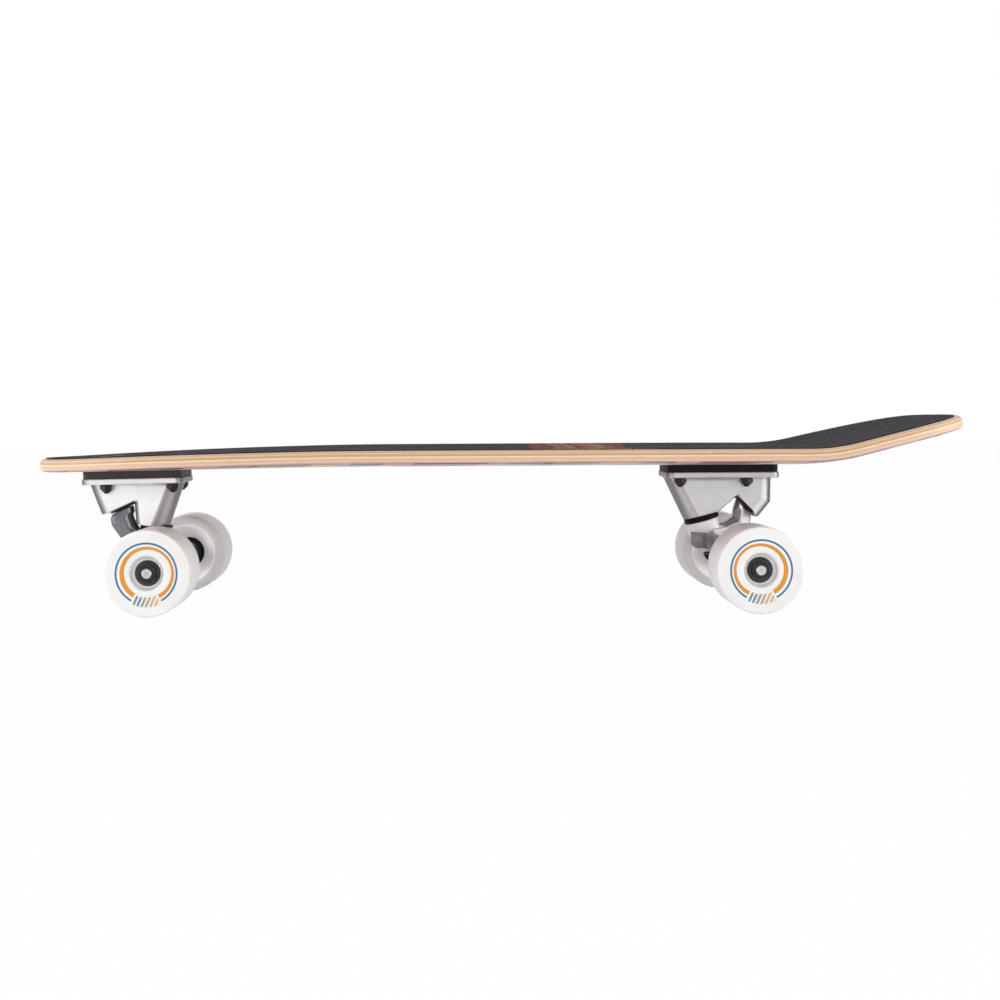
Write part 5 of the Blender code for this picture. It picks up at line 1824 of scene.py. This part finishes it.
    def kingpin(self, place: Place, low: float, neck: float, top: float) -> bpy.types.Object:
        """Build the kingpin: a hexagon head, a shank and a thread at its foot.

        Args:
            place: The ring's middle, z up the kingpin.
            low: Height of the foot.
            neck: Height of the head's seat.
            top: Height of the head's top.

        Returns:
            The kingpin.
        """
        radius, flats, (pitch, deep, length) = (self.kingpin_radius, self.kingpin_flats,
                                                self.kingpin_thread)
        rise = np.array([0.0, 0.25, 0.5, 0.8, 1.0, 1.2]) * 0.0010
        cone = flats / 2 + rise * math.sqrt(3) - 0.0003
        profile = np.vstack([[[0.0, top]], np.stack([cone, top - rise], 1),
                             [[1.0, neck], [radius, neck], [radius, neck - 0.0005]],
                             rod(radius, np.linspace(low + length, low + 0.0008, 90)),
                             [[radius - 0.0008, low], [0.0, low]]])

        def cut(r: Array, z: Array, a: Array) -> tuple[Array, Array]:
            """Cut the head's flats and the thread."""
            where = (z < low + length - 0.0002) & (z > low + 0.0007)
            return np.minimum(threaded(r, z, a, pitch, deep, where), hexagon_radius(a, flats)), z

        return self.piece("kingpin_bolt", [revolve(profile, place, 72, 0, cut)],
                          ["fastener_black_oxide"], "board", "kingpin", crease=HARD_CREASE)

    def axle(self) -> bpy.types.Object:
        """Build the axle, threaded at both ends, each with a centre mark."""
        radius, half, (pitch, deep, length) = self.axle_radius, self.axle_half, self.axle_thread
        end = np.vstack([[[0.0, half - 0.0006], [0.0007, half - 0.0005], [0.0012, half],
                          [radius - 0.0007, half]],
                         rod(radius, np.linspace(half - 0.0007, half - length, 70))])
        profile = np.vstack([end, (end * [1, -1])[::-1]])

        def cut(r: Array, z: Array, a: Array) -> tuple[Array, Array]:
            """Cut both threads."""
            where = (np.abs(z) > half - length + 0.0002) & (np.abs(z) < half - 0.0010)
            return threaded(r, z, a, pitch, deep, where), z

        across = Place(self.place.origin, np.array([[1.0, 0, 0], [0, 0, 1], [0, -1, 0]]))
        return self.piece("axle_rod", [revolve(profile, across, 64, 0, cut)], ["steel_bright"],
                          self.body, "axle")


@dataclass
class Roller(Assembly):
    """One wheel with its bearings, spacer and axle nut.

    Dish, recess and bearing are given by radius and depth, the nut by its flats and height.
    """

    truck: TruckSizes
    side: Side
    radius: float = 0.033
    width: float = 0.050
    outer_face: float = 0.1065
    outer_lip: float = 0.0022
    inner_lip: float = 0.0085
    dish: tuple[float, float] = (0.0126, 0.003)
    dish_rim: float = 0.0243
    recess: tuple[float, float] = (0.0132, 0.006)
    core_stop: float = 0.009
    bearing: tuple[float, float] = (0.011, 0.007)
    race_wall: float = 0.0012
    inner_race: float = 0.0062
    shield_depth: float = 0.0005
    axle_radius: float = 0.004
    nut: tuple[float, float] = (0.0127, 0.0052)
    spacer: float = 0.010
    segments: int = 160

    @property
    def prefix(self) -> str:
        """What the names of pieces and nodes start with."""
        return f"{self.truck.end.name}_{self.side.name}_".lower()

    @property
    def body(self) -> str:
        """The body that rolls."""
        return self.prefix + "roller"

    @property
    def place(self) -> Place:
        """The wheel's middle, z outwards along the axle."""
        way = float(self.side.value)
        turn = np.array([[1.0, 0, 0], [0, 0, way], [0, -way, 0]])
        middle = way * (self.outer_face - self.width / 2)
        return Place(np.array([self.truck.axle_x, middle, self.radius]), turn)

    def build(self) -> Iterator[bpy.types.Object]:
        """Build the wheel from the outside in."""
        yield self.wheel()
        outer_seat = self.width / 2 - self.recess[1]
        yield self.sealed_bearing("outer", outer_seat, "bearing_race_steel")
        inner_seat = outer_seat - self.bearing[1] - self.spacer
        # The inner bearing's races take the core's black: painted shade deep in the dish.
        yield self.sealed_bearing("inner", inner_seat, "wheel_core_black")
        yield self.axle_nut(outer_seat + GAP)
        self.dress("spacer", "steel_zinc")

    def wheel(self) -> bpy.types.Object:
        """Turn the wheel: a printed face, a tread with soft lips, a dish and a stepped core."""
        half, r, (rim, depth) = self.width / 2, self.radius, self.recess
        seat, outer_seat, inner_edge = self.bearing[0] + GAP, half - depth, r - self.inner_lip
        stop_high = outer_seat - self.bearing[1] - GAP
        stop_low = stop_high - self.spacer + 2 * GAP
        inner_seat = stop_low - GAP - self.bearing[1]
        spread = np.linspace(rim + 0.0020, r - self.outer_lip, 12)
        face = np.stack([spread, np.full_like(spread, half)], axis=1)
        tread = rounded([(r - self.outer_lip, half, 0.0), (r, half, self.outer_lip),
                         (r, -half, self.inner_lip), (inner_edge, -half, 0.0)], 14)
        foot = (self.dish[0] + 0.0006, inner_seat - self.dish[1], 0.0)
        dish = rounded([(inner_edge, -half, 0.0), (self.dish_rim, -half, 0.0012), foot], 7)
        core = rounded([foot, (self.dish[0], inner_seat, 0.0), (seat, inner_seat, 0.0),
                        (seat, stop_low, 0.0), (self.core_stop, stop_low, 0.0),
                        (self.core_stop, stop_high, 0.0), (seat, stop_high, 0.0)], 2)
        recess = rounded([(seat, stop_high, 0.0), (seat, outer_seat, 0.0),
                          (rim - 0.0016, outer_seat, 0.0012), (rim, half, 0.0018),
                          (rim + 0.0020, half, 0.0)], 7)
        turned = [revolve(profile, self.place, self.segments, finish)
                  for profile, finish in ((tread, 0), (dish, 3), (core, 2), (recess, 0))]
        # The dish's finish glows a little: painted light.
        finishes = ["wheel_urethane", self.truck.end.name.lower() + "_face_print",
                    "wheel_core_black", "wheel_dish_urethane"]
        return self.piece("wheel_tyre", [self.printed(face), *turned], finishes, self.body, "wheel")

    def printed(self, face: Array) -> Surface:
        """Turn the printed face, with a UV of its own x and y in wheel radii.

        Args:
            face: Profile of the face.

        Returns:
            The surface.
        """
        surface = revolve(face, self.place, self.segments, 1)
        off = (surface.points - self.place.origin) / self.radius
        across = off[..., 0] * self.truck.end.value * self.side.value
        surface.uv = np.stack([across, off[..., 2]], axis=-1)
        return surface

    def sealed_bearing(self, word: str, high: float, race_finish: str) -> bpy.types.Object:
        """Turn a sealed bearing: two races with a sunk shield on each side.

        Args:
            word: outer or inner.
            high: Height of its outer side along the axle.
            race_finish: Finish of its races.

        Returns:
            The bearing.
        """
        radius, width = self.bearing
        low, bore, edge = high - width, self.axle_radius + GAP, 0.0003
        wall, race = radius - self.race_wall, self.inner_race
        sunk, step = low + self.shield_depth, low + self.shield_depth + 0.0002
        outer = rounded([(wall, high - self.shield_depth, 0.0), (wall, high, edge),
                         (radius, high, edge), (radius, low, edge), (wall, low, edge),
                         (wall, sunk, 0.0)])
        below = rounded([(wall, sunk, 0.0), (wall - 0.0006, sunk, 0.0002),
                         (wall - 0.0008, step, 0.0002), (race, step, 0.0), (race, sunk, 0.0)])
        inner = rounded([(race, sunk, 0.0), (race, low, edge), (bore, low, edge),
                         (bore, high, edge), (race, high, edge),
                         (race, high - self.shield_depth, 0.0)])
        above = below.copy()
        above[:, 1] = low + high - below[:, 1]
        surfaces = [revolve(profile, self.place, 96, finish)
                    for profile, finish in ((outer, 0), (below, 1), (inner, 0), (above, 1))]
        return self.piece(f"{word}_bearing_sealed", surfaces, [race_finish, "bearing_shield_black"],
                          self.body, f"{word}_bearing")

    def axle_nut(self, low: float) -> bpy.types.Object:
        """Turn the axle's locknut, its collar outwards.

        Args:
            low: Height of its inner end along the axle.

        Returns:
            The nut.
        """
        flats, height = self.nut
        flip = Place(self.place.origin, self.place.turn @ np.diag([1.0, -1.0, -1.0]))
        surface = hexagon_nut(flip, flats, -low - height, -low, self.axle_radius, collar=0.35)
        return self.piece("axle_locknut", [surface], ["fastener_black_oxide"],
                          self.truck.end.name.lower() + "_truck", "axle_nut", crease=HARD_CREASE)


@dataclass
class Studio:
    """Floor, backdrop, lamps and camera."""

    camera_at: tuple[float, float, float] = (-0.0324, -1.2, 0.14925)
    camera_roll: float = 0.317
    focal: float = 52.272
    sensor: float = 36.0
    shift: tuple[float, float] = (0.047, -0.082)
    world_level: float = 0.52
    floor_half: float = 6.0
    floor_shown: float = 0.975
    aim: tuple[float, float, float] = (0.0, 0.0, 0.07)
    lamps: tuple[tuple[str, tuple[float, float, float], float, float], ...] = (
        ("key", (-0.03, -2.0, 0.22), 1.0, 12.3),
        ("side_nose", (-2.2, -0.4, 0.6), 1.0, 22.0),
        ("side_tail", (2.2, -0.4, 0.6), 1.0, 22.0),
        ("top", (0.1, 0.1, 2.2), 1.6, 2.0),
    )

    def build(self) -> None:
        """Build the studio."""
        self.floor()
        self.world()
        for lamp in self.lamps:
            self.lamp(*lamp)
        self.camera()
        bpy.context.scene.view_settings.view_transform = "Standard"

    def put(self, name: str, data: bpy.types.ID) -> bpy.types.Object:
        """Put an object of some data in the scene."""
        thing = bpy.data.objects.new(name, data)
        bpy.context.scene.collection.objects.link(thing)
        return thing

    def floor(self) -> None:
        """Lay the floor: white to the camera and to reflections, with a faint shadow."""
        half = self.floor_half
        mesh = bpy.data.meshes.new("floor")
        mesh.from_pydata([(-half, -half, 0.0), (half, -half, 0.0), (half, half, 0.0),
                          (-half, half, 0.0)], [], [(0, 1, 2, 3)])
        recipe = Recipe("floor_white", Base_Color=(0.86, 0.86, 0.86, 1.0), Roughness=0.9)
        glow = recipe.add("Emission", {"Color": (1.0, 1.0, 1.0, 1.0), "Strength": 1.0})
        share = recipe.times(self.seen(recipe), self.floor_shown)
        mixed = recipe.add("MixShader", {0: share, 1: recipe.shader.outputs[0], 2: glow})
        recipe.feed(recipe.tree.nodes["Material Output"].inputs["Surface"], mixed)
        mesh.materials.append(recipe.material)
        self.put("floor", mesh)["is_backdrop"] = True

    def seen(self, wiring: Wiring) -> Socket:
        """Give 1 for rays that are seen straight, mirrored or through something."""
        path = wiring.add("LightPath", {}).node.outputs
        straight = wiring.math("MAXIMUM", path["Is Camera Ray"], path["Is Glossy Ray"])
        return wiring.math("MAXIMUM", straight, path["Is Transmission Ray"])

    def world(self) -> None:
        """Make a white world that is dimmer as a light than it looks."""
        world = bpy.data.worlds.new("studio")
        bpy.context.scene.world = world
        world.use_nodes = True
        wiring = Wiring(world.node_tree)
        back = world.node_tree.nodes["Background"].inputs
        wiring.feed(back["Color"], (1.0, 1.0, 1.0, 1.0))
        level = wiring.span(self.seen(wiring), 0.0, 1.0, self.world_level, 1.0)
        wiring.feed(back["Strength"], level)

    def lamp(self, name: str, spot: tuple[float, float, float], size: float,
             power: float) -> None:
        """Hang a square lamp that faces the board's middle.

        Args:
            name: The lamp's name.
            spot: Where it hangs.
            size: Its side.
            power: Its power in watts.
        """
        light = bpy.data.lights.new(name, "AREA")
        light.size = size
        light.energy = power
        away = np.array(spot) - self.aim
        away /= np.linalg.norm(away)
        side = np.cross([0.0, 0.0, 1.0], away)
        side /= np.linalg.norm(side)
        grid = np.eye(4)
        grid[:3] = np.stack([side, np.cross(away, side), away, spot], axis=1)
        self.put(name, light).matrix_world = Matrix(grid.tolist())

    def camera(self) -> None:
        """Set up the camera."""
        data = bpy.data.cameras.new("camera")
        data.lens = self.focal
        data.sensor_width = self.sensor
        data.shift_x, data.shift_y = self.shift
        camera = self.put("camera", data)
        camera.location = self.camera_at
        camera.rotation_euler = (math.pi / 2, math.radians(self.camera_roll), 0.0)
        bpy.context.scene.camera = camera


def corners(box: Sequence[Sequence[float]]) -> list[list[float]]:
    """Turn a box into plain lists of numbers."""
    return [[float(number) for number in corner] for corner in box]


def main() -> None:
    """Build the studio and every piece of the surfskate, and report each."""
    logging.basicConfig(level=logging.INFO, format="%(name)s: %(message)s")
    Studio().build()
    palette = {finish.name: finish.build() for finish in FINISHES}
    builders: list[Board | Truck | Roller] = [Board(palette)]
    for sizes in (FRONT, REAR):
        builders.append(Truck(palette, sizes))
        builders += [Roller(palette, sizes, side) for side in Side]
    for builder in builders:
        for piece in builder.build():
            LOG.info("%s: %d faces", piece.name, len(piece.data.polygons))
    boxes = {"cad": corners(FRAME_BOX), "visual": corners(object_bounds())}
    LOG.info("boxes: %s", boxes)


if __name__ == "__main__":
    main()
